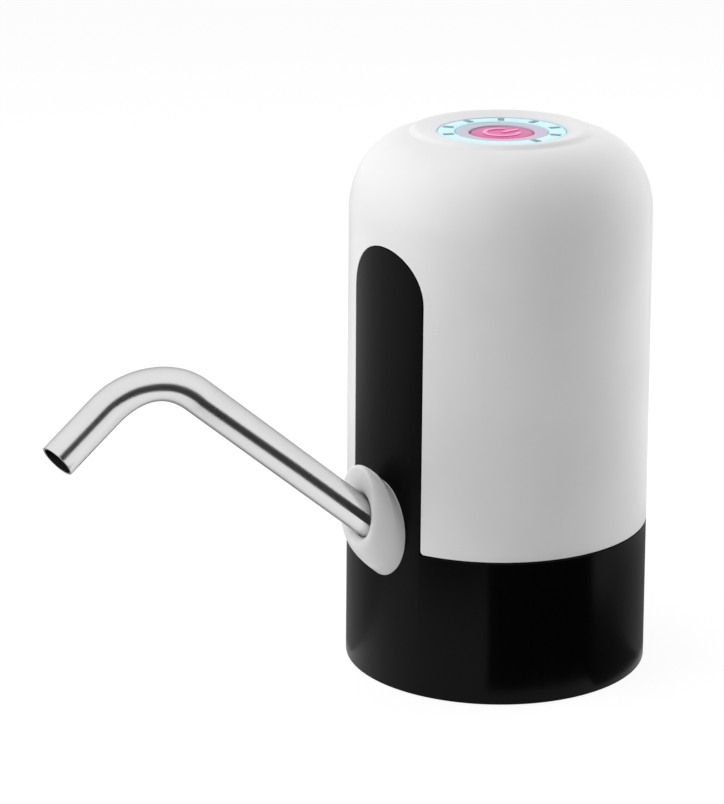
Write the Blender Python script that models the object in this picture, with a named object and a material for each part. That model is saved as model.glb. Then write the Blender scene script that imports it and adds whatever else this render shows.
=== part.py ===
"""Rechargeable pump that is pushed onto the neck of a large water bottle.

The body stands on its rim, with the bottle's axis on +Z and the spout over -Y.
Lengths are metres.
"""

import math

import bmesh
import bpy
from mathutils import Matrix, Vector

# Shared clearances
GAP = 0.0003
OVERRUN = 0.0020
EMBED = 0.0007
WELD = 0.000001
FINE_STEPS = 40
ROUND_STEPS = 24
SMALL_STEPS = 12

# Outer form
BODY_DRAFT_SHARE = 0.0076
SPLIT_HEIGHT = 0.0347
SHOULDER_RISE = 0.01835
SHOULDER_STEPS = 8
SHOULDER_INSIDE_STEPS = 4
RIM_RUN = 0.0017
RIM_STEPS = 3
DISH_DEPTH = 0.0009
DISH_RUN = 0.0046
DISH_STEPS = 3
DISH_INSIDE_STEPS = 2
SHELL_WALL = 0.0020
WINDOW_HALF_WIDTH = 0.0121
WINDOW_TOP_DROP = 0.00355
WINDOW_CORNER = 0.0010

# Base
BASE_WALL = 0.0022
BASE_EDGE = 0.0005
SPIGOT_RISE = 0.0040
SPIGOT_WALL = 0.0018
SNAP_DEPTH = 0.0004
SNAP_RISE = 0.0010
SNAP_LIFT = 0.0014
FLANGE_HEIGHT = 0.0233
FLANGE_THICKNESS = 0.0020
FLANGE_REACH = 0.0035

# Charging port at the back
PORT_LIFT = 0.0070
PORT_HALF_WIDTH = 0.0043
PORT_HALF_HEIGHT = 0.0018
PORT_CORNER = 0.0012
SOCKET_HALF_WIDTH = 0.0038
SOCKET_HALF_HEIGHT = 0.0013
SOCKET_LENGTH = 0.0062
SOCKET_SHEET = 0.0004
SOCKET_TONGUE = 0.0003
SOCKET_FLOOR = 0.0012
CHARGE_BOARD_THICKNESS = 0.0012
CHARGE_BOARD_HALF_WIDTH = 0.0080
CHARGE_BOARD_LENGTH = 0.0175
CHARGE_SHELF_THICKNESS = 0.0017

# Bottle neck socket
NECK_INSET = 0.0085
GRIP_LIP = 0.0005
GRIP_WALL = 0.0016
GRIP_FOOT = 0.0016
GRIP_RIBS = 3
SKIRT_WALL = 0.0016
SKIRT_FOOT = 0.0010
DECK_THICKNESS = 0.0027
GASKET_THICKNESS = 0.0017
GASKET_WIDTH = 0.0060

# Screws
SCREW_RADIUS = 0.0010
SCREW_HEAD_RADIUS = 0.0020
SCREW_HEAD_HEIGHT = 0.0013
SCREW_SLOT = 0.0004
DECK_SCREW_INSET = 0.0020
DECK_SCREW_LENGTH = 0.0105
DECK_SCREW_ANGLES = (86, 206, 326)
BOARD_SCREW_INSET = 0.0024
BOARD_SCREW_LENGTH = 0.0060
BOARD_SCREW_ANGLES = (30, 150, 270)
PUMP_SCREW_LENGTH = 0.0075
BOSS_WALL = 0.0016

# Inlet
NOZZLE_FOOT = 0.0060
NOZZLE_CORE = 0.0036
NOZZLE_BARB = 0.0009
NOZZLE_BARBS = 3
NOZZLE_BORE = 0.0015
NOZZLE_FLANGE_RADIUS = 0.0080
NOZZLE_SHANK_RADIUS = 0.0045
NOZZLE_SHANK_RISE = 0.0066
NUT_RADIUS = 0.0078
NUT_HEIGHT = 0.0030
HOSE_SPIGOT_RADIUS = 0.0023
HOSE_SPIGOT_LENGTH = 0.0045
INLET_HOSE_WALL = 0.0014

# Pump and motor
PUMP_FOOT = 0.0380
HEAD_RADIUS = 0.0150
COVER_THICKNESS = 0.0017
HEAD_HEIGHT = 0.0100
PORT_RADIUS = 0.0015
CHANNEL_HALF_WIDTH = 0.0014
CHANNEL_FLOOR = 0.0015
CHANNEL_HEIGHT = 0.0030
OUTLET_X = 0.0096
OUTLET_REACH = 0.0082
OUTLET_BARB_RADIUS = 0.0019
OUTLET_BARB_BORE = 0.0012
OUTLET_BARB_LENGTH = 0.0065
PUMP_SCREW_X = 0.0082
PUMP_SCREW_Y = 0.0080
GEAR_TEETH = 12
GEAR_PITCH_RADIUS = 0.0050
GEAR_ADDENDUM = 0.0005
GEAR_DEDENDUM = 0.0010
GEAR_HEIGHT = 0.0058
TOOTH_TIP_SHARE = 0.15
TOOTH_PITCH_SHARE = 0.38
TOOTH_ROOT_SHARE = 0.52
GASKET_RING_RADIUS = 0.0139
GASKET_RING_WIDTH = 0.0010
GASKET_RING_THICKNESS = 0.0007
SHAFT_RADIUS = 0.0010
SEAL_RADIUS = 0.0034
SEAL_THICKNESS = 0.0020
MOTOR_RADIUS = 0.0122
MOTOR_LENGTH = 0.0308
MOTOR_CLEAR = 0.0045711
CAN_WALL = 0.0010
END_CAP_THICKNESS = 0.0016
END_CAP_PLUG = 0.0018
TERMINAL_SPACING = 0.0060
TERMINAL_HEIGHT = 0.0028
TERMINAL_THICKNESS = 0.0005
TERMINAL_WIDTH = 0.0020
ROTOR_RADIUS = 0.0076
ROTOR_SLOT = 0.0016
ROTOR_CORE_RADIUS = 0.0034
ROTOR_LENGTH = 0.0190
ROTOR_LIFT = 0.0040
MAGNET_THICKNESS = 0.0026
MAGNET_HALF_ANGLE = 58
STRAP_THICKNESS = 0.0012
STRAP_HEIGHT = 0.0050
STRAP_FOOT = 0.0045
STRAP_TOP_INSET = 0.0025
STAKE_RADIUS = 0.0010

# Battery and chassis
CELL_RADIUS = 0.00915
CELL_LENGTH = 0.0650
CELL_CLEAR = 0.0042
CELL_NECK = 0.0006
CELL_NUB_RADIUS = 0.0030
CELL_NUB_RISE = 0.0008
BATTERY_INSET = 0.0025
TAB_THICKNESS = 0.0003
TAB_HALF_WIDTH = 0.0025
TAB_REACH = 0.0030
BATTERY_SHELF_THICKNESS = 0.0010
BATTERY_CLEAR = 0.0060
WALL_THICKNESS = 0.0020
WALL_HALF_WIDTH = 0.0235
WALL_SETBACK = 0.0006
WALL_TOP_INSET = 0.0045
CLIP_WALL = 0.0015
CLIP_HEIGHT = 0.0060
CLIP_LIFT = 0.0090
CLIP_HALF_ANGLE = 128
FOOT_THICKNESS = 0.0020
FOOT_HOLE_RADIUS = 0.0092
POST_RADIUS = 0.0022
DECK_BOSS_RISE = 0.0054

# Top controls
BUTTON_RADIUS = 0.0073
BUTTON_SINK = 0.0005
BUTTON_WALL = 0.0012
BUTTON_FLANGE = 0.0012
BUTTON_FLANGE_HEIGHT = 0.0011
BUTTON_EDGE = 0.0003
BUTTON_STEM_RADIUS = 0.0016
BUTTON_TRAVEL = 0.0007
SYMBOL_RADIUS = 0.0044
SYMBOL_STROKE = 0.0009
SYMBOL_RELIEF = 0.0002
SYMBOL_GAP_ANGLE = 38
SYMBOL_BAR = 0.0042
BEZEL_WIDTH = 0.0031
BEZEL_THICKNESS = 0.0017
BEZEL_SINK = 0.0003
LIGHT_RING_WIDTH = 0.00375
LIGHT_RING_SINK = 0.0001
LIGHT_FLANGE_REACH = 0.0019
LIGHT_FLANGE_THICKNESS = 0.0012
MARK_PLACES = 10
MARK_COUNT = 8
MARK_TURN = -4.5
MARK_LENGTH = 0.0028
MARK_WIDTH = 0.0013
MARK_RELIEF = 0.0002
TRAY_WALL = 0.0011
TRAY_FLOOR = 0.0008
TRAY_FLOOR_LIFT = 0.0022
BOARD_REACH = 0.00255
BOARD_THICKNESS = 0.0012
BOARD_DROP = 0.0100
SWITCH_SIDE = 0.0060
SWITCH_HEIGHT = 0.0035
SWITCH_WELL = 0.0029
PLUNGER_RADIUS = 0.0017
PLUNGER_RISE = 0.0004
LED_COUNT = 5
LED_START = 80
LED_LENGTH = 0.0034
LED_WIDTH = 0.0028
LED_HEIGHT = 0.0016
CHIP_LENGTH = 0.0050
CHIP_WIDTH = 0.0040
CHIP_HEIGHT = 0.0014
CHIP_X = -0.0030
CHIP_Y = 0.0040

# Spout and collar
SPOUT_HEIGHT = 0.03836
SPOUT_RISE_ANGLE = 39.52
SPOUT_BEND_ANGLE = 74.66
SPOUT_RUN = 0.0664
SPOUT_BEND_RADIUS = 0.0197
SPOUT_DROP = 0.0149
SPOUT_RADIUS = 0.0040
SPOUT_WALL = 0.0005
SPOUT_PLUG = 0.0056
SPOUT_STEPS = 24
SPOUT_BEND_STEPS = 11
SLEEVE_WALL = 0.0006
SLEEVE_OUTER = 0.0060
BORE_DEPTH = 0.0065
SNOUT_WALL = 0.0012
SNOUT_OUTER = 0.0017
COLLAR_FOOT_HALF_WIDTH = 0.0078
COLLAR_FOOT_HALF_HEIGHT = 0.01136
COLLAR_LIP_HALF_WIDTH = 0.0101
COLLAR_LIP_HALF_HEIGHT = 0.0123
COLLAR_ROUNDING = 0.0044
COLLAR_REACH = 0.00735
COLLAR_DROP = 0.0026
COLLAR_TILT = -8.8
COLLAR_STEPS = 32
COLLAR_MOUTH_GAP = 0.0004
BLOCK_HALF_WIDTH = 0.0063
BLOCK_DEPTH = 0.0062
BLOCK_CLEAR = 0.002636
BLOCK_SETBACK = 0.0008
BLOCK_BELOW = 0.00996
BLOCK_ABOVE = 0.00564
BLOCK_EDGE = 0.0010
BLOCK_PASSAGE_INSET = 0.0024
BLOCK_PASSAGE_RADIUS = 0.0012
BLOCK_BARB_LENGTH = 0.0080
OUTLET_HOSE_WALL = 0.0011
OUTLET_HOSE_RISE = 0.0600
OUTLET_HOSE_STEPS = 10

# Leads
LEAD_RADIUS = 0.0006
LEAD_SPAN_STEPS = 4

# Heights worked out from the ones above: the battery stands over the port, and the board over it
PORT_HEIGHT = SPLIT_HEIGHT + PORT_LIFT
SOCKET_FOOT = PORT_HEIGHT - SOCKET_HALF_HEIGHT
CHARGE_BOARD_TOP = SOCKET_FOOT - GAP
CHARGE_BOARD_FOOT = CHARGE_BOARD_TOP - CHARGE_BOARD_THICKNESS
CHARGE_SHELF_TOP = CHARGE_BOARD_FOOT - GAP
CHARGE_SHELF_FOOT = CHARGE_SHELF_TOP - CHARGE_SHELF_THICKNESS
BATTERY_SHELF_TOP = CHARGE_BOARD_TOP + BATTERY_CLEAR
BATTERY_SHELF_FOOT = BATTERY_SHELF_TOP - BATTERY_SHELF_THICKNESS
LOW_TAB_FOOT = BATTERY_SHELF_TOP + GAP
CELL_FOOT = LOW_TAB_FOOT + TAB_THICKNESS + GAP
CELL_TOP = CELL_FOOT + CELL_LENGTH
HIGH_TAB_FOOT = CELL_TOP + GAP
WALL_TOP = CELL_TOP - WALL_TOP_INSET
BOARD_FOOT = CELL_TOP + CELL_CLEAR
BOARD_TOP = BOARD_FOOT + BOARD_THICKNESS
DISH_HEIGHT = BOARD_TOP + BOARD_DROP
BODY_TOP = DISH_HEIGHT + DISH_DEPTH
SHOULDER_HEIGHT = DISH_HEIGHT - SHOULDER_RISE
WINDOW_TOP = SHOULDER_HEIGHT - WINDOW_TOP_DROP

# The body is as wide as the outlet, the pump, the motor and the battery in a row
FRONT_HALF = (
    SHELL_WALL + GAP + SPIGOT_WALL + BLOCK_SETBACK + BLOCK_DEPTH + BLOCK_CLEAR + HEAD_RADIUS
    + BODY_DRAFT_SHARE * SPLIT_HEIGHT
)
BACK_HALF = (
    MOTOR_RADIUS + MOTOR_CLEAR + WALL_THICKNESS + WALL_SETBACK + 2 * CELL_RADIUS + BATTERY_INSET
    + SHELL_WALL + BODY_DRAFT_SHARE * SHOULDER_HEIGHT
)
BODY_RADIUS = (FRONT_HALF + BACK_HALF) / 2
PUMP_Y = FRONT_HALF - BODY_RADIUS


def body_radius(height):
    """Outer radius of the body, which narrows a little towards the top."""
    return BODY_RADIUS - BODY_DRAFT_SHARE * height


# Other sizes worked out from the ones above
BEZEL_INNER = BUTTON_RADIUS + GAP
BEZEL_OUTER = BEZEL_INNER + BEZEL_WIDTH
LIGHT_RING_INNER = BEZEL_OUTER + GAP
LIGHT_RING_OUTER = LIGHT_RING_INNER + LIGHT_RING_WIDTH
DISH_RADIUS = LIGHT_RING_OUTER + GAP
CREST_RADIUS = DISH_RADIUS + DISH_RUN
SHOULDER_RUN = body_radius(SHOULDER_HEIGHT) - CREST_RADIUS
LIP_UNDERSIDE = DISH_HEIGHT - SHELL_WALL
LIGHT_FLANGE_TOP = LIP_UNDERSIDE - GAP
LIGHT_FLANGE_FOOT = LIGHT_FLANGE_TOP - LIGHT_FLANGE_THICKNESS
LIGHT_FLANGE_OUTER = LIGHT_RING_OUTER + LIGHT_FLANGE_REACH
BUTTON_TOP = DISH_HEIGHT - BUTTON_SINK
BUTTON_FOOT = LIGHT_FLANGE_FOOT - GAP - BUTTON_FLANGE_HEIGHT
BOARD_RADIUS = CREST_RADIUS + BOARD_REACH
BOARD_SCREW_CIRCLE = BOARD_RADIUS - BOARD_SCREW_INSET
SWITCH_FOOT = BOARD_TOP + GAP
SWITCH_TOP = SWITCH_FOOT + SWITCH_HEIGHT
PLUNGER_TOP = SWITCH_TOP + PLUNGER_RISE
PLUNGER_FOOT = SWITCH_TOP - SWITCH_WELL + BUTTON_TRAVEL + GAP
LED_CIRCLE = (LIGHT_RING_INNER + LIGHT_RING_OUTER) / 2
STEP_HEIGHT = SPLIT_HEIGHT - GAP / 2
SHELL_FOOT = SPLIT_HEIGHT + GAP / 2
SPIGOT_OUTER = body_radius(SPLIT_HEIGHT) - SHELL_WALL - GAP
SPIGOT_INNER = SPIGOT_OUTER - SPIGOT_WALL
SPIGOT_TOP = STEP_HEIGHT + SPIGOT_RISE
FLANGE_TOP = FLANGE_HEIGHT + FLANGE_THICKNESS
DECK_TOP = FLANGE_HEIGHT - GAP
DECK_FOOT = DECK_TOP - DECK_THICKNESS
GASKET_TOP = DECK_FOOT - GAP
GASKET_FOOT = GASKET_TOP - GASKET_THICKNESS
NECK_RADIUS = BODY_RADIUS - NECK_INSET
GASKET_HOLE_RADIUS = NECK_RADIUS - GASKET_WIDTH
DECK_SCREW_CIRCLE = NECK_RADIUS - DECK_SCREW_INSET
FLANGE_HOLE_RADIUS = DECK_SCREW_CIRCLE - FLANGE_REACH
GRIP_LIP_RADIUS = NECK_RADIUS + GAP
GRIP_INNER = GRIP_LIP_RADIUS + GRIP_LIP
GRIP_OUTER = GRIP_INNER + GRIP_WALL
SKIRT_INNER = GRIP_OUTER + GAP
SKIRT_OUTER = SKIRT_INNER + SKIRT_WALL
NOZZLE_FLANGE_TOP = DECK_FOOT - GAP
NOZZLE_FLANGE_FOOT = GASKET_FOOT
NOZZLE_SHANK_TOP = DECK_TOP + NOZZLE_SHANK_RISE - DECK_THICKNESS
NOZZLE_TOP = NOZZLE_SHANK_TOP + HOSE_SPIGOT_LENGTH
INLET_HOSE_INNER = HOSE_SPIGOT_RADIUS + GAP
INLET_HOSE_OUTER = INLET_HOSE_INNER + INLET_HOSE_WALL
COVER_TOP = PUMP_FOOT + COVER_THICKNESS
HEAD_FOOT = COVER_TOP + GAP
HEAD_TOP = HEAD_FOOT + HEAD_HEIGHT
OUTLET_Y = PUMP_Y - OUTLET_REACH
MOTOR_X = -GEAR_PITCH_RADIUS
IDLER_X = GEAR_PITCH_RADIUS
GEAR_TIP_RADIUS = GEAR_PITCH_RADIUS + GEAR_ADDENDUM
GEAR_FOOT = HEAD_FOOT + GAP
GEAR_TOP = GEAR_FOOT + GEAR_HEIGHT
CAVITY_TOP = GEAR_TOP + GAP
BORE_RADIUS = SHAFT_RADIUS + GAP
MOTOR_FOOT = HEAD_TOP + GAP
MOTOR_TOP = MOTOR_FOOT + MOTOR_LENGTH
END_CAP_FOOT = MOTOR_TOP - END_CAP_THICKNESS
CAN_TOP = END_CAP_FOOT - GAP
ROTOR_FOOT = MOTOR_FOOT + ROTOR_LIFT
CELL_Y = body_radius(SHOULDER_HEIGHT) - SHELL_WALL - BATTERY_INSET - CELL_RADIUS
WALL_BACK = CELL_Y - CELL_RADIUS - WALL_SETBACK
WALL_FRONT = WALL_BACK - WALL_THICKNESS
FOOT_LOW = FLANGE_TOP + GAP
FOOT_TOP = FOOT_LOW + FOOT_THICKNESS
FOOT_RADIUS = SPIGOT_INNER - GAP
SPOUT_TILT = math.radians(90 - SPOUT_RISE_ANGLE)
SPOUT_AT = Vector((0, -body_radius(SPOUT_HEIGHT), SPOUT_HEIGHT))
SPOUT_AXIS = Vector((0, -math.sin(SPOUT_TILT), math.cos(SPOUT_TILT)))
SLEEVE_INNER = SPOUT_RADIUS + GAP
SLEEVE_RADIUS = SLEEVE_INNER + SLEEVE_WALL
SPOUT_BORE_RADIUS = SLEEVE_RADIUS + GAP
SNOUT_RADIUS = SPOUT_BORE_RADIUS + SNOUT_WALL
SNOUT_HOLE_RADIUS = SNOUT_RADIUS + GAP
BLOCK_FOOT = SPOUT_HEIGHT - BLOCK_BELOW
BLOCK_TOP = SPOUT_HEIGHT + BLOCK_ABOVE
BLOCK_FRONT = -(SPIGOT_INNER - BLOCK_SETBACK)
PASSAGE_Y = BLOCK_FRONT + BLOCK_PASSAGE_INSET
OUTLET_HOSE_INNER = OUTLET_BARB_RADIUS + GAP
OUTLET_HOSE_OUTER = OUTLET_HOSE_INNER + OUTLET_HOSE_WALL


# Modelling helpers


def clear_scene():
    for old in list(bpy.data.objects):
        bpy.data.objects.remove(old, do_unlink=True)


def finish(name, color, roughness, metallic=0.0, alpha=1.0):
    """A plain material with the piece's colour and gloss."""
    material = bpy.data.materials.new(name)
    material.use_nodes = True
    shader = material.node_tree.nodes["Principled BSDF"]
    shader.inputs["Base Color"].default_value = (*color, 1)
    shader.inputs["Roughness"].default_value = roughness
    shader.inputs["Metallic"].default_value = metallic
    shader.inputs["Alpha"].default_value = alpha
    return material


def piece(name, mesh_maker, material=None):
    """A new object whose mesh is closed, faces out, and is shaded smooth up to sharp edges."""
    bmesh.ops.remove_doubles(mesh_maker, verts=mesh_maker.verts, dist=WELD)
    bmesh.ops.recalc_face_normals(mesh_maker, faces=mesh_maker.faces)
    mesh = bpy.data.meshes.new(name)
    mesh_maker.to_mesh(mesh)
    mesh_maker.free()
    mesh.shade_smooth()
    mesh.set_sharp_from_angle(angle=math.radians(35))
    obj = bpy.data.objects.new(name, mesh)
    bpy.context.scene.collection.objects.link(obj)
    if material:
        mesh.materials.append(material)
    return obj


def turned(name, profile, steps, material=None):
    """Spins a profile of (radius, height) points about Z. Off the axis it is a closed ring."""
    maker = bmesh.new()
    verts = [maker.verts.new((radius, 0, height)) for radius, height in profile]
    on_axis = min(radius for radius, height in profile) < WELD
    pairs = list(zip(verts, verts[1:])) if on_axis else list(zip(verts, verts[1:] + verts[:1]))
    edges = [maker.edges.new(pair) for pair in pairs]
    bmesh.ops.spin(
        maker, geom=verts + edges, cent=(0, 0, 0), axis=(0, 0, 1),
        angle=math.tau, steps=steps, use_merge=True,
    )
    return piece(name, maker, material)


def rod(name, radius, low, high, steps=SMALL_STEPS, material=None):
    maker = bmesh.new()
    place = Matrix.Translation((0, 0, (low + high) / 2))
    bmesh.ops.create_cone(
        maker, cap_ends=True, segments=steps, radius1=radius, radius2=radius,
        depth=high - low, matrix=place,
    )
    return piece(name, maker, material)


def tube(name, inner, outer, low, high, steps=ROUND_STEPS, material=None):
    profile = [(inner, low), (outer, low), (outer, high), (inner, high)]
    return turned(name, profile, steps, material)


def block(name, low, high, material=None):
    """A box between two corners."""
    maker = bmesh.new()
    bmesh.ops.create_cube(maker, size=1)
    sides = [b - a for a, b in zip(low, high)]
    middle = [(a + b) / 2 for a, b in zip(low, high)]
    bmesh.ops.scale(maker, vec=sides, verts=maker.verts)
    bmesh.ops.translate(maker, vec=middle, verts=maker.verts)
    return piece(name, maker, material)


def prism(name, outline, low, high, material=None, upright=True):
    """Extrudes an outline along Z, or along Y when it isn't upright and holds (x, z) points."""
    maker = bmesh.new()
    if upright:
        verts = [maker.verts.new((x, y, low)) for x, y in outline]
        rise = Vector((0, 0, high - low))
    else:
        verts = [maker.verts.new((x, low, z)) for x, z in outline]
        rise = Vector((0, high - low, 0))
    face = maker.faces.new(verts)
    grown = bmesh.ops.extrude_face_region(maker, geom=[face])["geom"]
    moved = [item for item in grown if isinstance(item, bmesh.types.BMVert)]
    bmesh.ops.translate(maker, vec=rise, verts=moved)
    return piece(name, maker, material)


def at(obj, x=0, y=0, z=0):
    obj.location = (x, y, z)
    return obj


def joint_axis(name, place, tilt=0):
    """An empty on the axis that its pieces turn about or slide along."""
    empty = bpy.data.objects.new(name, None)
    empty.location = place
    empty.rotation_euler = (tilt, 0, 0)
    bpy.context.scene.collection.objects.link(empty)
    return empty


def carried(axis, *pieces):
    for each in pieces:
        each.parent = axis


def on_spout_axis(obj):
    """Puts a piece turned about Z onto the axis of the spout's plug."""
    obj.parent = SPOUT_JOINT
    return obj


def rounded(obj, width, segments=2):
    bevel = obj.modifiers.new("rounded_edges", "BEVEL")
    bevel.width = width
    bevel.segments = segments
    bevel.limit_method = "ANGLE"
    return obj


def combine(obj, operation, others):
    for other in others:
        modifier = obj.modifiers.new(operation.lower(), "BOOLEAN")
        modifier.operation = operation
        modifier.solver = "EXACT"
        modifier.object = other
        other.hide_render = True
        other.display_type = "WIRE"
    return obj


def join(obj, *others):
    return combine(obj, "UNION", others)


def cut(obj, *others):
    return combine(obj, "DIFFERENCE", others)


def polar(radius, degrees):
    turn = math.radians(degrees)
    return radius * math.cos(turn), radius * math.sin(turn)


def arc(centre, radius, start, end, steps):
    """Points along an arc, with its angles in degrees."""
    points = []
    for i in range(steps + 1):
        x, y = polar(radius, start + (end - start) * i / steps)
        points.append((centre[0] + x, centre[1] + y))
    return points


# Joint axes

clear_scene()
SPOUT_JOINT = joint_axis("spout_joint", SPOUT_AT, SPOUT_TILT)
BUTTON_AXIS = joint_axis("button_axis", (0, 0, 0))
DRIVE_AXIS = joint_axis("drive_axis", (MOTOR_X, PUMP_Y, 0))
IDLER_AXIS = joint_axis("idler_axis", (IDLER_X, PUMP_Y, 0))

# Materials

WHITE_PLASTIC = finish("white_plastic", (0.86, 0.86, 0.87), 0.30)
BLACK_PLASTIC = finish("black_plastic", (0.012, 0.012, 0.013), 0.38)
GREY_PLASTIC = finish("grey_plastic", (0.30, 0.31, 0.32), 0.50)
NATURAL_PLASTIC = finish("natural_plastic", (0.75, 0.73, 0.66), 0.45)
CLEAR_PLASTIC = finish("clear_plastic", (0.55, 0.88, 0.98), 0.25, alpha=0.8)
PINK_PLASTIC = finish("pink_plastic", (0.84, 0.15, 0.37), 0.35)
MAUVE_PLASTIC = finish("mauve_plastic", (0.57, 0.54, 0.67), 0.40)
SILICONE = finish("silicone", (0.70, 0.70, 0.70), 0.60)
STEEL = finish("steel", (0.62, 0.62, 0.62), 0.18, metallic=1)
NICKEL = finish("nickel", (0.60, 0.58, 0.54), 0.30, metallic=1)
IRON = finish("iron", (0.28, 0.28, 0.29), 0.45, metallic=1)
FERRITE = finish("ferrite", (0.06, 0.06, 0.065), 0.70)
BOARD_GREEN = finish("board_green", (0.03, 0.20, 0.09), 0.40)
WRAP_BLUE = finish("wrap_blue", (0.03, 0.15, 0.45), 0.40)
LED_YELLOW = finish("led_yellow", (0.85, 0.80, 0.45), 0.30)
RED_LEAD = finish("red_lead", (0.55, 0.02, 0.02), 0.45)
BLACK_LEAD = finish("black_lead", (0.015, 0.015, 0.015), 0.45)


# Shells


def crown(inset, shoulder_steps, rim_steps, dish_steps):
    """Shoulder, soft rim and dish, set in by a wall, from the side of the body to the hole on top."""
    points = []
    rim_turn = math.acos(RIM_RUN / (SHOULDER_RUN - inset))
    for i in range(shoulder_steps + 1):
        turn = rim_turn * i / shoulder_steps
        radius = CREST_RADIUS + (SHOULDER_RUN - inset) * math.cos(turn)
        points.append((radius, SHOULDER_HEIGHT + (SHOULDER_RISE - inset) * math.sin(turn)))
    rim_foot = points[-1][1]
    for i in range(1, rim_steps + 1):
        turn = math.pi / 2 * i / rim_steps
        height = rim_foot + (BODY_TOP - inset - rim_foot) * math.sin(turn)
        points.append((CREST_RADIUS + RIM_RUN * math.cos(turn), height))
    for i in range(1, dish_steps + 1):
        share = i / dish_steps
        fall = DISH_DEPTH * (1 - math.cos(math.pi * share)) / 2
        radius = CREST_RADIUS + (DISH_RADIUS - CREST_RADIUS) * share
        points.append((radius, BODY_TOP - inset - fall))
    return points


def under_rim(radius):
    """Height of the shell's inside at a radius between the rim's foot and its crest."""
    foot, crest = crown(SHELL_WALL, 1, 1, 1)[1:3]
    share = (radius - crest[0]) / RIM_RUN
    return crest[1] + (foot[1] - crest[1]) * share


def window_outline(gap, foot, corner):
    """Arch with a round top. Corners flare out at its foot, where the shell's edge is rounded."""
    half = WINDOW_HALF_WIDTH - gap
    spring = WINDOW_TOP - WINDOW_HALF_WIDTH
    points = arc((0, spring), half, 0, 180, ROUND_STEPS)
    if corner:
        points += arc((-half - corner, foot + corner), corner, 0, -90, 3)
        points += [(-half - corner, foot - OVERRUN), (half + corner, foot - OVERRUN)]
        points += arc((half + corner, foot + corner), corner, -90, -180, 3)
    else:
        points += [(-half, foot), (half, foot)]
    return points


def window_prism(name, gap, foot, corner):
    outline = window_outline(gap, foot, corner)
    return prism(name, outline, -BODY_RADIUS - OVERRUN, -BODY_RADIUS / 2, upright=False)


def make_outer_shell():
    snap_low = STEP_HEIGHT + SNAP_LIFT - GAP
    snap_high = snap_low + SNAP_RISE + 2 * GAP
    inner = body_radius(SPLIT_HEIGHT) - SHELL_WALL
    profile = [(body_radius(SHELL_FOOT), SHELL_FOOT)] + crown(0, SHOULDER_STEPS, RIM_STEPS, DISH_STEPS)
    profile += crown(SHELL_WALL, SHOULDER_INSIDE_STEPS, 1, DISH_INSIDE_STEPS)[::-1]
    profile += [
        (inner, snap_high), (inner + SNAP_DEPTH, snap_high),
        (inner + SNAP_DEPTH, snap_low), (inner, snap_low), (inner, SHELL_FOOT),
    ]
    shell = turned("outer_shell", profile, FINE_STEPS, WHITE_PLASTIC)
    posts = []
    holes = []
    for number, angle in enumerate(BOARD_SCREW_ANGLES, 1):
        x, y = polar(BOARD_SCREW_CIRCLE, angle)
        low = BOARD_TOP + GAP
        high = under_rim(BOARD_SCREW_CIRCLE) + EMBED
        wide = SCREW_RADIUS + GAP + BOSS_WALL / 2
        posts.append(at(rod(f"shell_post_{number}", wide, low, high), x, y))
        hole_top = BOARD_FOOT + BOARD_SCREW_LENGTH + GAP
        hole = rod(f"shell_post_hole_{number}", SCREW_RADIUS + GAP, low - OVERRUN, hole_top)
        holes.append(at(hole, x, y))
    join(shell, *posts)
    cut(shell, window_prism("window_cutter", 0, SHELL_FOOT, WINDOW_CORNER), *holes)
    port = block(
        "port_cutter",
        (-PORT_HALF_WIDTH, SPIGOT_INNER, PORT_HEIGHT - PORT_HALF_HEIGHT),
        (PORT_HALF_WIDTH, BODY_RADIUS + OVERRUN, PORT_HEIGHT + PORT_HALF_HEIGHT),
    )
    cut(shell, rounded(port, PORT_CORNER))


def make_base_housing():
    foot_inner = BODY_RADIUS - BASE_WALL
    knee = STEP_HEIGHT - SPIGOT_WALL
    slope_foot = knee - (body_radius(knee) - BASE_WALL - SPIGOT_INNER)
    high = WINDOW_TOP + OVERRUN
    snap = STEP_HEIGHT + SNAP_LIFT
    wall = [
        (BODY_RADIUS - BASE_EDGE, 0), (body_radius(BASE_EDGE), BASE_EDGE),
        (body_radius(high), high), (body_radius(high) - BASE_WALL, high),
        (body_radius(SPIGOT_TOP) - BASE_WALL, SPIGOT_TOP), (SPIGOT_INNER, SPIGOT_TOP),
        (SPIGOT_INNER, knee), (body_radius(slope_foot) - BASE_WALL, slope_foot),
        (body_radius(FLANGE_TOP) - BASE_WALL, FLANGE_TOP), (FLANGE_HOLE_RADIUS, FLANGE_TOP),
        (FLANGE_HOLE_RADIUS, FLANGE_HEIGHT),
        (body_radius(FLANGE_HEIGHT) - BASE_WALL, FLANGE_HEIGHT), (foot_inner, 0),
    ]
    base = turned("base_housing", wall, FINE_STEPS, BLACK_PLASTIC)
    far = BODY_RADIUS + OVERRUN
    above = [
        (SPIGOT_OUTER, STEP_HEIGHT), (far, STEP_HEIGHT), (far, high + OVERRUN),
        (SPIGOT_INNER - OVERRUN, high + OVERRUN), (SPIGOT_INNER - OVERRUN, SPIGOT_TOP),
        (SPIGOT_OUTER, SPIGOT_TOP), (SPIGOT_OUTER, snap + SNAP_RISE),
        (SPIGOT_OUTER + SNAP_DEPTH, snap + SNAP_RISE), (SPIGOT_OUTER + SNAP_DEPTH, snap),
        (SPIGOT_OUTER, snap),
    ]
    trim = turned("base_trim", above, FINE_STEPS)
    cut(trim, window_prism("tongue_guide", GAP, STEP_HEIGHT - OVERRUN, 0))
    snout_hole = rod("snout_hole", SNOUT_HOLE_RADIUS, -BODY_RADIUS / 2, BODY_RADIUS / 2, ROUND_STEPS)
    cut(base, trim, on_spout_axis(snout_hole))
    for number, angle in enumerate(DECK_SCREW_ANGLES, 1):
        x, y = polar(DECK_SCREW_CIRCLE, angle)
        hole = rod(
            f"flange_hole_{number}", SCREW_RADIUS + GAP,
            FLANGE_HEIGHT - OVERRUN, FLANGE_TOP + OVERRUN,
        )
        cut(base, at(hole, x, y))


# Bottle neck socket


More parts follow.
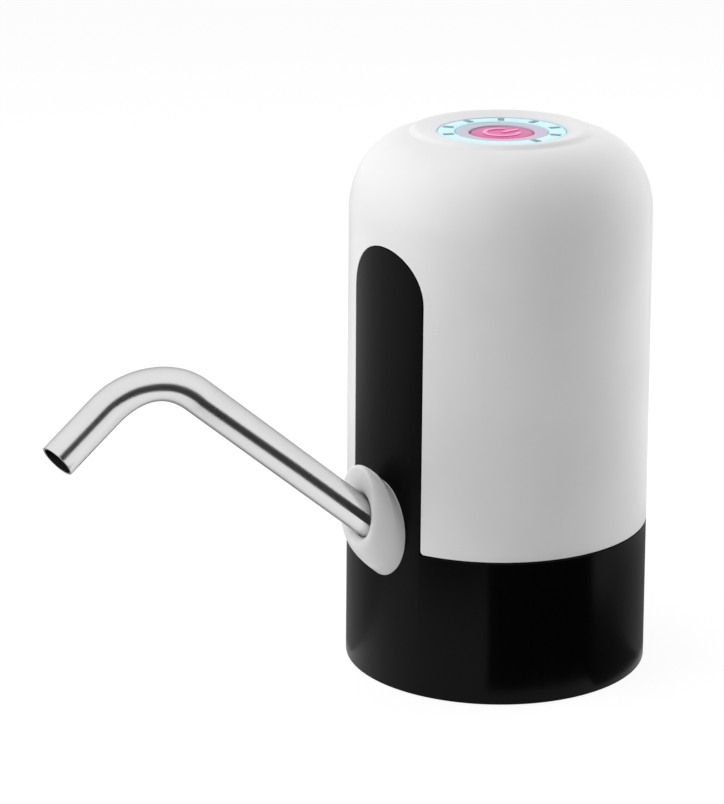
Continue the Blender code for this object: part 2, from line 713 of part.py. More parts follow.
def make_bottom_deck():
    outer = body_radius(DECK_TOP) - BASE_WALL - GAP
    hole = NOZZLE_SHANK_RADIUS + GAP
    profile = [
        (hole, DECK_TOP), (outer, DECK_TOP), (outer, DECK_FOOT), (SKIRT_OUTER, DECK_FOOT),
        (SKIRT_OUTER, SKIRT_FOOT), (SKIRT_INNER, SKIRT_FOOT), (SKIRT_INNER, DECK_FOOT),
        (hole, DECK_FOOT),
    ]
    deck = turned("bottom_deck", profile, FINE_STEPS, BLACK_PLASTIC)
    for number, angle in enumerate(DECK_SCREW_ANGLES, 1):
        x, y = polar(DECK_SCREW_CIRCLE, angle)
        sunk = DECK_FOOT + SCREW_HEAD_HEIGHT + GAP
        head = SCREW_HEAD_RADIUS + GAP
        hole = rod(f"deck_hole_{number}", SCREW_RADIUS + GAP, sunk - EMBED, DECK_TOP + OVERRUN)
        well = rod(f"deck_well_{number}", head, DECK_FOOT - OVERRUN, sunk)
        cut(deck, at(hole, x, y), at(well, x, y))


def make_neck_seals():
    tube(
        "neck_gasket", GASKET_HOLE_RADIUS, NECK_RADIUS, GASKET_FOOT, GASKET_TOP,
        FINE_STEPS, SILICONE,
    )
    top = GASKET_TOP
    spacing = (top - GRIP_FOOT) / GRIP_RIBS
    profile = [(GRIP_OUTER, GRIP_FOOT), (GRIP_OUTER, top)]
    for i in range(GRIP_RIBS):
        high = top - spacing * i
        profile += [
            (GRIP_INNER, high), (GRIP_INNER, high - spacing / 2),
            (GRIP_LIP_RADIUS, high - spacing * 3 / 4),
        ]
    profile.append((GRIP_INNER, GRIP_FOOT))
    turned("neck_grip", profile, FINE_STEPS, SILICONE)


def screw(name, x, y, head_foot, length):
    """A pan-head screw that points up, with a cross slot in its head."""
    neck = head_foot + SCREW_HEAD_HEIGHT
    profile = [
        (0, head_foot), (SCREW_HEAD_RADIUS, head_foot), (SCREW_HEAD_RADIUS, neck),
        (SCREW_RADIUS, neck), (SCREW_RADIUS, neck + length), (0, neck + length),
    ]
    body = at(turned(name, profile, SMALL_STEPS, STEEL), x, y)
    reach = SCREW_HEAD_RADIUS / 2
    for way, wide in (("long", (reach, SCREW_SLOT / 2)), ("cross", (SCREW_SLOT / 2, reach))):
        low = (-wide[0], -wide[1], head_foot - OVERRUN)
        high = (wide[0], wide[1], head_foot + SCREW_SLOT)
        cut(body, at(block(f"{name}_{way}_slot", low, high), x, y))


def make_screws():
    for number, angle in enumerate(DECK_SCREW_ANGLES, 1):
        x, y = polar(DECK_SCREW_CIRCLE, angle)
        screw(f"deck_screw_{number}", x, y, DECK_FOOT, DECK_SCREW_LENGTH)
    for number, angle in enumerate(BOARD_SCREW_ANGLES, 1):
        x, y = polar(BOARD_SCREW_CIRCLE, angle)
        low = BOARD_FOOT - GAP - SCREW_HEAD_HEIGHT
        screw(f"board_screw_{number}", x, y, low, BOARD_SCREW_LENGTH)
    for number, (x, y) in enumerate(pump_screw_places(), 1):
        low = PUMP_FOOT - GAP - SCREW_HEAD_HEIGHT
        screw(f"pump_screw_{number}", x, y, low, PUMP_SCREW_LENGTH)


# Way in for the water


def barbs(core, tooth, low, high, count):
    """Outline of hose barbs, from the bottom up, each tapering down towards the free end."""
    pitch = (high - low) / count
    points = []
    for i in range(count):
        foot = low + pitch * i
        points += [(core, foot), (core + tooth, foot + pitch * 2 / 3)]
    return points + [(core, high)]


def make_inlet():
    profile = [(NOZZLE_BORE, NOZZLE_FOOT)]
    profile += barbs(NOZZLE_CORE, NOZZLE_BARB, NOZZLE_FOOT, NOZZLE_FLANGE_FOOT, NOZZLE_BARBS)
    profile += [
        (NOZZLE_FLANGE_RADIUS, NOZZLE_FLANGE_FOOT), (NOZZLE_FLANGE_RADIUS, NOZZLE_FLANGE_TOP),
        (NOZZLE_SHANK_RADIUS, NOZZLE_FLANGE_TOP), (NOZZLE_SHANK_RADIUS, NOZZLE_SHANK_TOP),
        (HOSE_SPIGOT_RADIUS, NOZZLE_SHANK_TOP), (HOSE_SPIGOT_RADIUS, NOZZLE_TOP),
        (NOZZLE_BORE, NOZZLE_TOP),
    ]
    turned("inlet_nozzle", profile, ROUND_STEPS, NATURAL_PLASTIC)
    corners = arc((0, 0), NUT_RADIUS, 0, 300, 5)
    low = DECK_TOP + GAP
    nut = prism("nozzle_nut", corners, low, low + NUT_HEIGHT, GREY_PLASTIC)
    high = low + NUT_HEIGHT + OVERRUN
    cut(nut, rod("nut_hole", NOZZLE_SHANK_RADIUS + GAP, low - OVERRUN, high, ROUND_STEPS))
    tube(
        "inlet_hose", INLET_HOSE_INNER, INLET_HOSE_OUTER, NOZZLE_SHANK_TOP + GAP,
        PUMP_FOOT - GAP, ROUND_STEPS, SILICONE,
    )


# Pump


def pump_screw_places():
    """Three of the four corners. The outlet takes the fourth."""
    return [
        (PUMP_SCREW_X, PUMP_Y + PUMP_SCREW_Y), (-PUMP_SCREW_X, PUMP_Y + PUMP_SCREW_Y),
        (-PUMP_SCREW_X, PUMP_Y - PUMP_SCREW_Y),
    ]


def make_pump_body():
    body = at(rod("pump_body", HEAD_RADIUS, HEAD_FOOT, HEAD_TOP, ROUND_STEPS, GREY_PLASTIC), 0, PUMP_Y)
    barb_top = HEAD_TOP + OUTLET_BARB_LENGTH
    join(body, at(rod("outlet_barb", OUTLET_BARB_RADIUS, HEAD_TOP - EMBED, barb_top), OUTLET_X, OUTLET_Y))
    below = HEAD_FOOT - OVERRUN
    for name, x in (("drive", MOTOR_X), ("idler", IDLER_X)):
        room = rod(f"{name}_gear_room", GEAR_TIP_RADIUS + GAP, below, CAVITY_TOP, ROUND_STEPS)
        cut(body, at(room, x, PUMP_Y))
    cut(body, at(rod("shaft_hole", BORE_RADIUS, HEAD_FOOT, HEAD_TOP + OVERRUN), MOTOR_X, PUMP_Y))
    seal_foot = HEAD_TOP - SEAL_THICKNESS - GAP
    seal_room = rod("seal_room", SEAL_RADIUS + GAP, seal_foot, HEAD_TOP + OVERRUN, ROUND_STEPS)
    cut(body, at(seal_room, MOTOR_X, PUMP_Y))
    cut(body, at(rod("idler_hole", BORE_RADIUS, HEAD_FOOT, seal_foot), IDLER_X, PUMP_Y))
    low = HEAD_FOOT + CHANNEL_FLOOR
    high = low + CHANNEL_HEIGHT
    wide = CHANNEL_HALF_WIDTH
    cut(body, block("inlet_channel", (-wide, PUMP_Y, low), (wide, wide, high)))
    cut(body, at(rod("inlet_passage", PORT_RADIUS, below, low + EMBED), 0, 0))
    bend_y = OUTLET_Y - wide / 2
    cut(body, block("outlet_channel", (-wide, bend_y - wide, low), (wide, PUMP_Y, high)))
    far = (OUTLET_X + wide / 2, bend_y + wide, high)
    cut(body, block("outlet_cross_channel", (0, bend_y - wide, low), far))
    rise = rod("outlet_passage", OUTLET_BARB_BORE, low + EMBED, barb_top + OVERRUN)
    cut(body, at(rise, OUTLET_X, OUTLET_Y))
    for number, (x, y) in enumerate(pump_screw_places(), 1):
        top = PUMP_FOOT - GAP + PUMP_SCREW_LENGTH + GAP
        cut(body, at(rod(f"head_screw_hole_{number}", SCREW_RADIUS + GAP, below, top), x, y))


def make_pump_cover():
    cover = rod("pump_cover", HEAD_RADIUS, PUMP_FOOT, COVER_TOP, ROUND_STEPS, GREY_PLASTIC)
    at(cover, 0, PUMP_Y)
    spigot_foot = PUMP_FOOT - HOSE_SPIGOT_LENGTH
    join(cover, rod("inlet_spigot", HOSE_SPIGOT_RADIUS, spigot_foot, PUMP_FOOT + EMBED))
    cut(cover, rod("inlet_bore", PORT_RADIUS, spigot_foot - OVERRUN, COVER_TOP + OVERRUN))
    inner = GASKET_RING_RADIUS - GASKET_RING_WIDTH / 2
    outer = GASKET_RING_RADIUS + GASKET_RING_WIDTH / 2
    foot = COVER_TOP - GASKET_RING_THICKNESS
    groove = tube("gasket_groove", inner - GAP, outer + GAP, foot - GAP, COVER_TOP + OVERRUN)
    cut(cover, at(groove, 0, PUMP_Y))
    at(tube("pump_gasket", inner, outer, foot, COVER_TOP, ROUND_STEPS, SILICONE), 0, PUMP_Y)
    pin_foot = PUMP_FOOT + COVER_THICKNESS / 2
    cut(cover, at(rod("pin_hole", BORE_RADIUS, pin_foot, COVER_TOP + OVERRUN), IDLER_X, PUMP_Y))
    for number, (x, y) in enumerate(pump_screw_places(), 1):
        hole = rod(
            f"cover_screw_hole_{number}", SCREW_RADIUS + GAP,
            PUMP_FOOT - OVERRUN, COVER_TOP + OVERRUN,
        )
        cut(cover, at(hole, x, y))


def gear(name, axis, phase):
    """A spur gear whose teeth are counted from +X, turned by a phase in teeth."""
    tooth = math.tau / GEAR_TEETH
    flank = [
        (GEAR_PITCH_RADIUS - GEAR_DEDENDUM, TOOTH_ROOT_SHARE),
        (GEAR_PITCH_RADIUS, TOOTH_PITCH_SHARE), (GEAR_TIP_RADIUS, TOOTH_TIP_SHARE),
    ]
    outline = []
    for i in range(GEAR_TEETH):
        centre = (i + phase) * tooth
        rising = [(radius, centre - share * tooth / 2) for radius, share in flank]
        falling = [(radius, centre + share * tooth / 2) for radius, share in flank[::-1]]
        outline += [(r * math.cos(a), r * math.sin(a)) for r, a in rising + falling]
    wheel = prism(name, outline, GEAR_FOOT, GEAR_TOP, NATURAL_PLASTIC)
    bore = rod(f"{name}_bore", BORE_RADIUS, GEAR_FOOT - OVERRUN, GEAR_TOP + OVERRUN)
    carried(axis, wheel, bore)
    cut(wheel, bore)


def make_pump_inside():
    gear("drive_gear", DRIVE_AXIS, 0)
    gear("driven_gear", IDLER_AXIS, 0.5)
    seal_foot = HEAD_TOP - SEAL_THICKNESS - GAP
    low = PUMP_FOOT + COVER_THICKNESS / 2 + GAP
    at(rod("idler_axle", SHAFT_RADIUS, low, seal_foot - GAP, SMALL_STEPS, STEEL), IDLER_X, PUMP_Y)
    seal = tube(
        "shaft_seal", BORE_RADIUS, SEAL_RADIUS, seal_foot + GAP, HEAD_TOP, ROUND_STEPS, FERRITE
    )
    at(seal, MOTOR_X, PUMP_Y)


# Motor


def make_motor():
    inner = MOTOR_RADIUS - CAN_WALL
    can = [
        (BORE_RADIUS, MOTOR_FOOT), (MOTOR_RADIUS, MOTOR_FOOT), (MOTOR_RADIUS, CAN_TOP),
        (inner, CAN_TOP), (inner, MOTOR_FOOT + CAN_WALL), (BORE_RADIUS, MOTOR_FOOT + CAN_WALL),
    ]
    at(turned("motor_can", can, ROUND_STEPS, NICKEL), MOTOR_X, PUMP_Y)
    plug = inner - GAP
    plug_foot = END_CAP_FOOT - END_CAP_PLUG
    well = END_CAP_FOOT + GAP
    cap = [
        (0, MOTOR_TOP), (MOTOR_RADIUS, MOTOR_TOP), (MOTOR_RADIUS, END_CAP_FOOT),
        (plug, END_CAP_FOOT), (plug, plug_foot), (BORE_RADIUS, plug_foot),
        (BORE_RADIUS, well), (0, well),
    ]
    end_cap = at(turned("motor_end_cap", cap, ROUND_STEPS, WHITE_PLASTIC), MOTOR_X, PUMP_Y)
    for side in (-1, 1):
        x = MOTOR_X + side * TERMINAL_SPACING
        low = (x - TERMINAL_THICKNESS / 2, PUMP_Y - TERMINAL_WIDTH / 2, MOTOR_TOP - EMBED)
        high = (x + TERMINAL_THICKNESS / 2, PUMP_Y + TERMINAL_WIDTH / 2, MOTOR_TOP + TERMINAL_HEIGHT)
        join(end_cap, block(f"terminal_{side}", low, high))
    shaft = rod("motor_shaft", SHAFT_RADIUS, GEAR_FOOT, well - GAP, SMALL_STEPS, STEEL)
    carried(DRIVE_AXIS, shaft, make_rotor())
    magnet_outer = inner - GAP
    magnet_inner = magnet_outer - MAGNET_THICKNESS
    for side, middle in (("left", 180), ("right", 0)):
        start = middle - MAGNET_HALF_ANGLE
        end = middle + MAGNET_HALF_ANGLE
        outline = arc((0, 0), magnet_outer, start, end, 12) + arc((0, 0), magnet_inner, end, start, 12)
        magnet = prism(f"motor_magnet_{side}", outline, ROTOR_FOOT, ROTOR_FOOT + ROTOR_LENGTH, FERRITE)
        at(magnet, MOTOR_X, PUMP_Y)


def make_rotor():
    """Three wound poles on the shaft, with slots between them."""
    rotor = tube(
        "motor_rotor", BORE_RADIUS, ROTOR_RADIUS, ROTOR_FOOT, ROTOR_FOOT + ROTOR_LENGTH,
        ROUND_STEPS, IRON,
    )
    for number, angle in enumerate((0, 120, 240), 1):
        low = (ROTOR_CORE_RADIUS, -ROTOR_SLOT / 2, ROTOR_FOOT - OVERRUN)
        high = (ROTOR_RADIUS + OVERRUN, ROTOR_SLOT / 2, ROTOR_FOOT + ROTOR_LENGTH + OVERRUN)
        slot = block(f"rotor_slot_{number}", low, high)
        slot.rotation_euler = (0, 0, math.radians(angle))
        carried(DRIVE_AXIS, slot)
        cut(rotor, slot)
    return rotor


def strap_places():
    """Middle of each foot of the motor's strap."""
    reach = MOTOR_RADIUS + GAP + STRAP_THICKNESS / 2 + STRAP_FOOT / 2
    return [MOTOR_X - reach, MOTOR_X + reach]


def make_motor_strap():
    inner = MOTOR_RADIUS + GAP
    outer = inner + STRAP_THICKNESS
    back = WALL_FRONT - GAP - PUMP_Y
    front = back - STRAP_THICKNESS
    foot = outer + STRAP_FOOT
    outline = arc((0, 0), outer, 180, 360, 20)
    outline += [(outer, front), (foot, front), (foot, back), (inner, back)]
    outline += arc((0, 0), inner, 360, 180, 20)
    outline += [(-inner, back), (-foot, back), (-foot, front), (-outer, front)]
    high = MOTOR_TOP - STRAP_TOP_INSET
    low = high - STRAP_HEIGHT
    strap = at(prism("motor_strap", outline, low, high, NICKEL), MOTOR_X, PUMP_Y)
    for number, x in enumerate(strap_places(), 1):
        cut(strap, stake(f"stake_hole_{number}", x, STAKE_RADIUS + GAP, OVERRUN))


def stake(name, x, radius, overrun):
    """A pin along Y on the chassis wall, which holds the strap."""
    pin = rod(name, radius, -EMBED, STRAP_THICKNESS + 2 * GAP + overrun)
    middle = MOTOR_TOP - STRAP_TOP_INSET - STRAP_HEIGHT / 2
    at(pin, x, WALL_FRONT, middle)
    pin.rotation_euler = (math.radians(90), 0, 0)
    return pin


# Chassis


def make_chassis():
    foot = tube(
        "inner_chassis", FOOT_HOLE_RADIUS, FOOT_RADIUS, FOOT_LOW, FOOT_TOP, FINE_STEPS, GREY_PLASTIC
    )
    wall_low = (-WALL_HALF_WIDTH, WALL_FRONT, FOOT_TOP - EMBED)
    wall_high = (WALL_HALF_WIDTH, WALL_BACK, WALL_TOP)
    join(foot, block("chassis_wall", wall_low, wall_high))
    shelf_low = (-CHARGE_BOARD_HALF_WIDTH, WALL_BACK - EMBED, CHARGE_SHELF_FOOT)
    shelf_high = (CHARGE_BOARD_HALF_WIDTH, WALL_BACK + CHARGE_BOARD_LENGTH, CHARGE_SHELF_TOP)
    join(foot, block("charge_shelf", shelf_low, shelf_high))
    tray_low = (-CELL_RADIUS, WALL_BACK - EMBED, BATTERY_SHELF_FOOT)
    tray_high = (CELL_RADIUS, CELL_Y + CELL_RADIUS / 2, BATTERY_SHELF_TOP)
    join(foot, block("battery_shelf", tray_low, tray_high))
    inner = CELL_RADIUS + GAP
    outer = inner + CLIP_WALL
    start = -90 - CLIP_HALF_ANGLE
    end = -90 + CLIP_HALF_ANGLE
    outline = arc((0, CELL_Y), outer, start, end, 28) + arc((0, CELL_Y), inner, end, start, 28)
    for name, low in (
        ("low_clip", CELL_FOOT + CLIP_LIFT),
        ("high_clip", CELL_TOP - CLIP_LIFT - CLIP_HEIGHT),
    ):
        join(foot, prism(name, outline, low, low + CLIP_HEIGHT))
    for number, (x, y) in enumerate(pump_post_places(), 1):
        post = rod(f"pump_post_{number}", POST_RADIUS, FOOT_TOP - EMBED, PUMP_FOOT - GAP)
        join(foot, at(post, x, y))
    for number, angle in enumerate(DECK_SCREW_ANGLES, 1):
        x, y = polar(DECK_SCREW_CIRCLE, angle)
        wide = SCREW_RADIUS + GAP + BOSS_WALL
        high = FOOT_TOP + DECK_BOSS_RISE
        join(foot, at(rod(f"deck_boss_{number}", wide, FOOT_TOP - EMBED, high), x, y))
        hole_top = DECK_FOOT + SCREW_HEAD_HEIGHT + DECK_SCREW_LENGTH + GAP
        hole = rod(f"boss_hole_{number}", SCREW_RADIUS + GAP, FOOT_LOW - OVERRUN, hole_top)
        cut(foot, at(hole, x, y))
    for number, x in enumerate(strap_places(), 1):
        join(foot, stake(f"strap_stake_{number}", x, STAKE_RADIUS, 0))


def pump_post_places():
    reach = HEAD_RADIUS - POST_RADIUS - GAP
    return [(reach, PUMP_Y), (-reach, PUMP_Y), (0, PUMP_Y - reach)]


# Battery


def make_battery():
    shoulder = CELL_TOP - CELL_NUB_RISE
    profile = [
        (0, CELL_FOOT), (CELL_RADIUS - CELL_NECK, CELL_FOOT), (CELL_RADIUS, CELL_FOOT + CELL_NECK),
        (CELL_RADIUS, shoulder - CELL_NECK), (CELL_RADIUS - CELL_NECK, shoulder),
        (CELL_NUB_RADIUS, shoulder), (CELL_NUB_RADIUS, CELL_TOP), (0, CELL_TOP),
    ]
    at(turned("battery_cell", profile, ROUND_STEPS, WRAP_BLUE), 0, CELL_Y)
    low = (-CELL_RADIUS - TAB_REACH, CELL_Y - TAB_HALF_WIDTH, LOW_TAB_FOOT)
    high = (TAB_REACH, CELL_Y + TAB_HALF_WIDTH, LOW_TAB_FOOT + TAB_THICKNESS)
    block("battery_tab_bottom", low, high, NICKEL)
    low = (-TAB_HALF_WIDTH, CELL_Y - CELL_RADIUS, HIGH_TAB_FOOT)
    high = (TAB_HALF_WIDTH, CELL_Y + TAB_REACH, HIGH_TAB_FOOT + TAB_THICKNESS)
    block("battery_tab_top", low, high, NICKEL)


# Boards and lamps


def make_control_board():
    board = rod("control_board", BOARD_RADIUS, BOARD_FOOT, BOARD_TOP, FINE_STEPS, BOARD_GREEN)
    for number, angle in enumerate(BOARD_SCREW_ANGLES, 1):
        x, y = polar(BOARD_SCREW_CIRCLE, angle)
        hole = rod(
            f"board_hole_{number}", SCREW_RADIUS + GAP,
            BOARD_FOOT - OVERRUN, BOARD_TOP + OVERRUN,
        )
        cut(board, at(hole, x, y))
    low = (CHIP_X - CHIP_LENGTH, CHIP_Y - CHIP_WIDTH, BOARD_FOOT - GAP - CHIP_HEIGHT)
    block("control_chip", low, (CHIP_X, CHIP_Y, BOARD_FOOT - GAP), BLACK_PLASTIC)
    half = SWITCH_SIDE / 2
    body = block("tact_switch", (-half, -half, SWITCH_FOOT), (half, half, SWITCH_TOP), BLACK_PLASTIC)
    well = rod("switch_well", PLUNGER_RADIUS + GAP, SWITCH_TOP - SWITCH_WELL, SWITCH_TOP + OVERRUN)
    cut(body, well)
    plunger = rod(
        "switch_plunger", PLUNGER_RADIUS, PLUNGER_FOOT, PLUNGER_TOP, SMALL_STEPS, WHITE_PLASTIC
    )
    carried(BUTTON_AXIS, plunger)
    low = (-LED_WIDTH / 2, -LED_LENGTH / 2, SWITCH_FOOT)
    high = (LED_WIDTH / 2, LED_LENGTH / 2, SWITCH_FOOT + LED_HEIGHT)
    for number in range(LED_COUNT):
        angle = led_angle(number)
        lamp = block(f"led_{number + 1}", low, high, LED_YELLOW)
        x, y = polar(LED_CIRCLE, angle)
        at(lamp, x, y).rotation_euler = (0, 0, math.radians(angle))


def led_angle(number):
    return LED_START + 360 / LED_COUNT * number


def make_light_tray():
    low = BOARD_TOP + GAP
    high = LIGHT_FLANGE_FOOT - GAP
    floor = low + TRAY_FLOOR_LIFT
    inner = BUTTON_RADIUS + BUTTON_FLANGE + 2 * GAP
    outer = LIGHT_FLANGE_OUTER
    profile = [
        (inner, low), (inner + TRAY_WALL, low), (inner + TRAY_WALL, floor),
        (outer - TRAY_WALL, floor), (outer - TRAY_WALL, low), (outer, low), (outer, high),
        (outer - TRAY_WALL, high), (outer - TRAY_WALL, floor + TRAY_FLOOR),
        (inner + TRAY_WALL, floor + TRAY_FLOOR), (inner + TRAY_WALL, high), (inner, high),
    ]
    tray = turned("light_tray", profile, ROUND_STEPS, WHITE_PLASTIC)
    for number in range(LED_COUNT):
        x, y = polar(LED_CIRCLE, led_angle(number))
        below = floor - OVERRUN / 2
        above = floor + TRAY_FLOOR + OVERRUN / 2
        cut(tray, at(rod(f"tray_hole_{number}", LED_WIDTH / 2, below, above), x, y))


def make_light_ring():
    top = DISH_HEIGHT - LIGHT_RING_SINK
    profile = [
        (BEZEL_INNER, LIGHT_FLANGE_TOP), (LIGHT_RING_INNER, LIGHT_FLANGE_TOP),
        (LIGHT_RING_INNER, top), (LIGHT_RING_OUTER, top), (LIGHT_RING_OUTER, LIGHT_FLANGE_TOP),
        (LIGHT_FLANGE_OUTER, LIGHT_FLANGE_TOP), (LIGHT_FLANGE_OUTER, LIGHT_FLANGE_FOOT),
        (BEZEL_INNER, LIGHT_FLANGE_FOOT),
    ]
    ring = turned("light_ring", profile, FINE_STEPS, CLEAR_PLASTIC)
    half = MARK_LENGTH / 2
    for number in range(MARK_COUNT):
        angle = MARK_TURN + 360 / MARK_PLACES * number
        low = (-half, -MARK_WIDTH / 2, top - EMBED)
        mark = block(f"ring_mark_{number}", low, (half, MARK_WIDTH / 2, top + MARK_RELIEF))
        x, y = polar(LED_CIRCLE, angle)
        at(mark, x, y).rotation_euler = (0, 0, math.radians(angle))
        join(ring, mark)


def make_bezel():
    high = DISH_HEIGHT - BEZEL_SINK
    low = high - BEZEL_THICKNESS
    tube("ring_bezel", BEZEL_INNER, BEZEL_OUTER, low, high, FINE_STEPS, MAUVE_PLASTIC)


def make_button():
    inner = BUTTON_RADIUS - BUTTON_WALL
    ceiling = BUTTON_TOP - BUTTON_WALL
    flange = BUTTON_RADIUS + BUTTON_FLANGE
    stem_foot = PLUNGER_TOP + GAP
    profile = [
        (0, BUTTON_TOP), (BUTTON_RADIUS - BUTTON_EDGE, BUTTON_TOP),
        (BUTTON_RADIUS, BUTTON_TOP - BUTTON_EDGE),
        (BUTTON_RADIUS, BUTTON_FOOT + BUTTON_FLANGE_HEIGHT),
        (flange, BUTTON_FOOT + BUTTON_FLANGE_HEIGHT), (flange, BUTTON_FOOT), (inner, BUTTON_FOOT),
        (inner, ceiling), (BUTTON_STEM_RADIUS, ceiling), (BUTTON_STEM_RADIUS, stem_foot),
        (0, stem_foot),
    ]
    cap = turned("button_cap", profile, ROUND_STEPS, PINK_PLASTIC)
    carried(BUTTON_AXIS, cap)
    start = 90 + SYMBOL_GAP_ANGLE
    end = 450 - SYMBOL_GAP_ANGLE
    inside = SYMBOL_RADIUS - SYMBOL_STROKE
    outline = arc((0, 0), SYMBOL_RADIUS, start, end, 28) + arc((0, 0), inside, end, start, 28)
    low = BUTTON_TOP - EMBED
    high = BUTTON_TOP + SYMBOL_RELIEF
    half = SYMBOL_STROKE / 2
    bar_low = (-half, SYMBOL_RADIUS - SYMBOL_BAR, low)
    bar = block("symbol_bar", bar_low, (half, SYMBOL_RADIUS + half, high))
    join(cap, prism("symbol_ring", outline, low, high), bar)


def make_charge_port():
    y_back = body_radius(PORT_HEIGHT) - SHELL_WALL + SOCKET_LENGTH / 4
    y_front = y_back - SOCKET_LENGTH
    half = SOCKET_HALF_WIDTH
    top = PORT_HEIGHT + SOCKET_HALF_HEIGHT
    shell = block("charge_socket", (-half, y_front, SOCKET_FOOT), (half, y_back, top), NICKEL)
    room_low = (-half + SOCKET_SHEET, y_front + SOCKET_FLOOR, SOCKET_FOOT + SOCKET_SHEET)
    room_high = (half - SOCKET_SHEET, y_back + OVERRUN, top - SOCKET_SHEET)
    cut(shell, block("socket_room", room_low, room_high))
    tongue_low = (-half / 2, y_front + EMBED, PORT_HEIGHT - SOCKET_TONGUE)
    tongue_high = (half / 2, y_back - SOCKET_FLOOR, PORT_HEIGHT + SOCKET_TONGUE)
    join(shell, block("socket_tongue", tongue_low, tongue_high))
    half = CHARGE_BOARD_HALF_WIDTH
    low = (-half, WALL_BACK + GAP, CHARGE_BOARD_FOOT)
    high = (half, y_back - SOCKET_LENGTH / 2, CHARGE_BOARD_TOP)
    block("charge_board", low, high, BOARD_GREEN)


# Spout


def oval(half_width, half_height):
    """Even steps round an oval, as shares of its two half sizes."""
    points = []
    for i in range(COLLAR_STEPS):
        turn = math.tau * i / COLLAR_STEPS
        points.append((half_width * math.cos(turn), half_height * math.sin(turn)))
    return points


def make_collar():
    """A smooth oval boss that leans out along the spout, lofted from its foot on the body."""
    tilt = math.radians(COLLAR_TILT)
    outward = Vector((0, -math.cos(tilt), math.sin(tilt)))
    upward = Vector((0, math.sin(tilt), math.cos(tilt)))
    face = SPOUT_AT + SPOUT_AXIS * (COLLAR_REACH / math.sin(SPOUT_TILT)) - upward * COLLAR_DROP
    lip = face - outward * COLLAR_ROUNDING
    maker = bmesh.new()
    rings = []
    for share in (0.5, 1):
        ring = []
        for x, z in oval(COLLAR_FOOT_HALF_WIDTH * share, COLLAR_FOOT_HALF_HEIGHT * share):
            height = SPOUT_HEIGHT + z
            radius = body_radius(height) + GAP
            ring.append(maker.verts.new((x, -math.sqrt(radius * radius - x * x), height)))
        rings.append(ring)
    for degrees in (0, 18, 36, 54, 72, 90):
        turn = math.radians(degrees)
        inset = COLLAR_ROUNDING * (1 - math.cos(turn))
        centre = lip + outward * COLLAR_ROUNDING * math.sin(turn)
        points = oval(COLLAR_LIP_HALF_WIDTH - inset, COLLAR_LIP_HALF_HEIGHT - inset)
        rings.append([maker.verts.new(centre + Vector((x, 0, 0)) + upward * z) for x, z in points])
    for near, far in zip(rings, rings[1:]):
        for i, vert in enumerate(near):
            after = (i + 1) % len(near)
            maker.faces.new((vert, near[after], far[after], far[i]))
    middle = maker.verts.new((0, -body_radius(SPOUT_HEIGHT) - GAP, SPOUT_HEIGHT))
    for i, vert in enumerate(rings[0]):
        maker.faces.new((middle, rings[0][(i + 1) % COLLAR_STEPS], vert))
    maker.faces.new(rings[-1])
    collar = piece("spout_collar", maker, WHITE_PLASTIC)
    deep = -BODY_RADIUS / 2
    for name, radius, top in (
        ("collar_snout_room", SNOUT_HOLE_RADIUS, SNOUT_OUTER + GAP),
        ("collar_bore", SPOUT_BORE_RADIUS, SLEEVE_OUTER + GAP),
        ("collar_mouth", SPOUT_RADIUS + COLLAR_MOUTH_GAP, BODY_RADIUS / 2),
    ):
        cut(collar, on_spout_axis(rod(name, radius, deep, top, ROUND_STEPS)))


def make_spout():
    inner_end = -SPOUT_PLUG
    centre = []
    centre.append((0, 0, inner_end))
    for i in range(SPOUT_BEND_STEPS + 1):
        turn = math.radians(SPOUT_BEND_ANGLE) * i / SPOUT_BEND_STEPS
        y = -SPOUT_BEND_RADIUS * (1 - math.cos(turn))
        centre.append((0, y, SPOUT_RUN + SPOUT_BEND_RADIUS * math.sin(turn)))
    turn = math.radians(SPOUT_BEND_ANGLE)
    last = Vector(centre[-1])
    centre.append(last + Vector((0, -math.sin(turn), math.cos(turn))) * SPOUT_DROP)
    on_spout_axis(pipe("spout_tube", centre, SPOUT_RADIUS, SPOUT_WALL, SPOUT_STEPS, STEEL))
    on_spout_axis(
        tube(
            "spout_seal", SLEEVE_INNER, SLEEVE_RADIUS, -SPOUT_PLUG - GAP, SLEEVE_OUTER,
            ROUND_STEPS, SILICONE,
        )
    )


def curve(name, centre, radius, sides, material, filled):
    data = bpy.data.curves.new(name, "CURVE")
    data.dimensions = "3D"
    data.bevel_depth = radius
    data.bevel_resolution = (sides - 4) // 2
    data.use_fill_caps = filled
    spline = data.splines.new("POLY")
    spline.points.add(len(centre) - 1)
    for point, place in zip(spline.points, centre):
        point.co = (*place, 1)
    data.materials.append(material)
    obj = bpy.data.objects.new(name, data)
    bpy.context.scene.collection.objects.link(obj)
    return obj


def pipe(name, centre, radius, wall, sides, material):
    """A hollow tube along a line of points."""
    obj = curve(name, centre, radius, sides, material, False)
    walls = obj.modifiers.new("wall", "SOLIDIFY")
    walls.thickness = wall
    walls.offset = -1
    walls.use_even_offset = True
    return obj


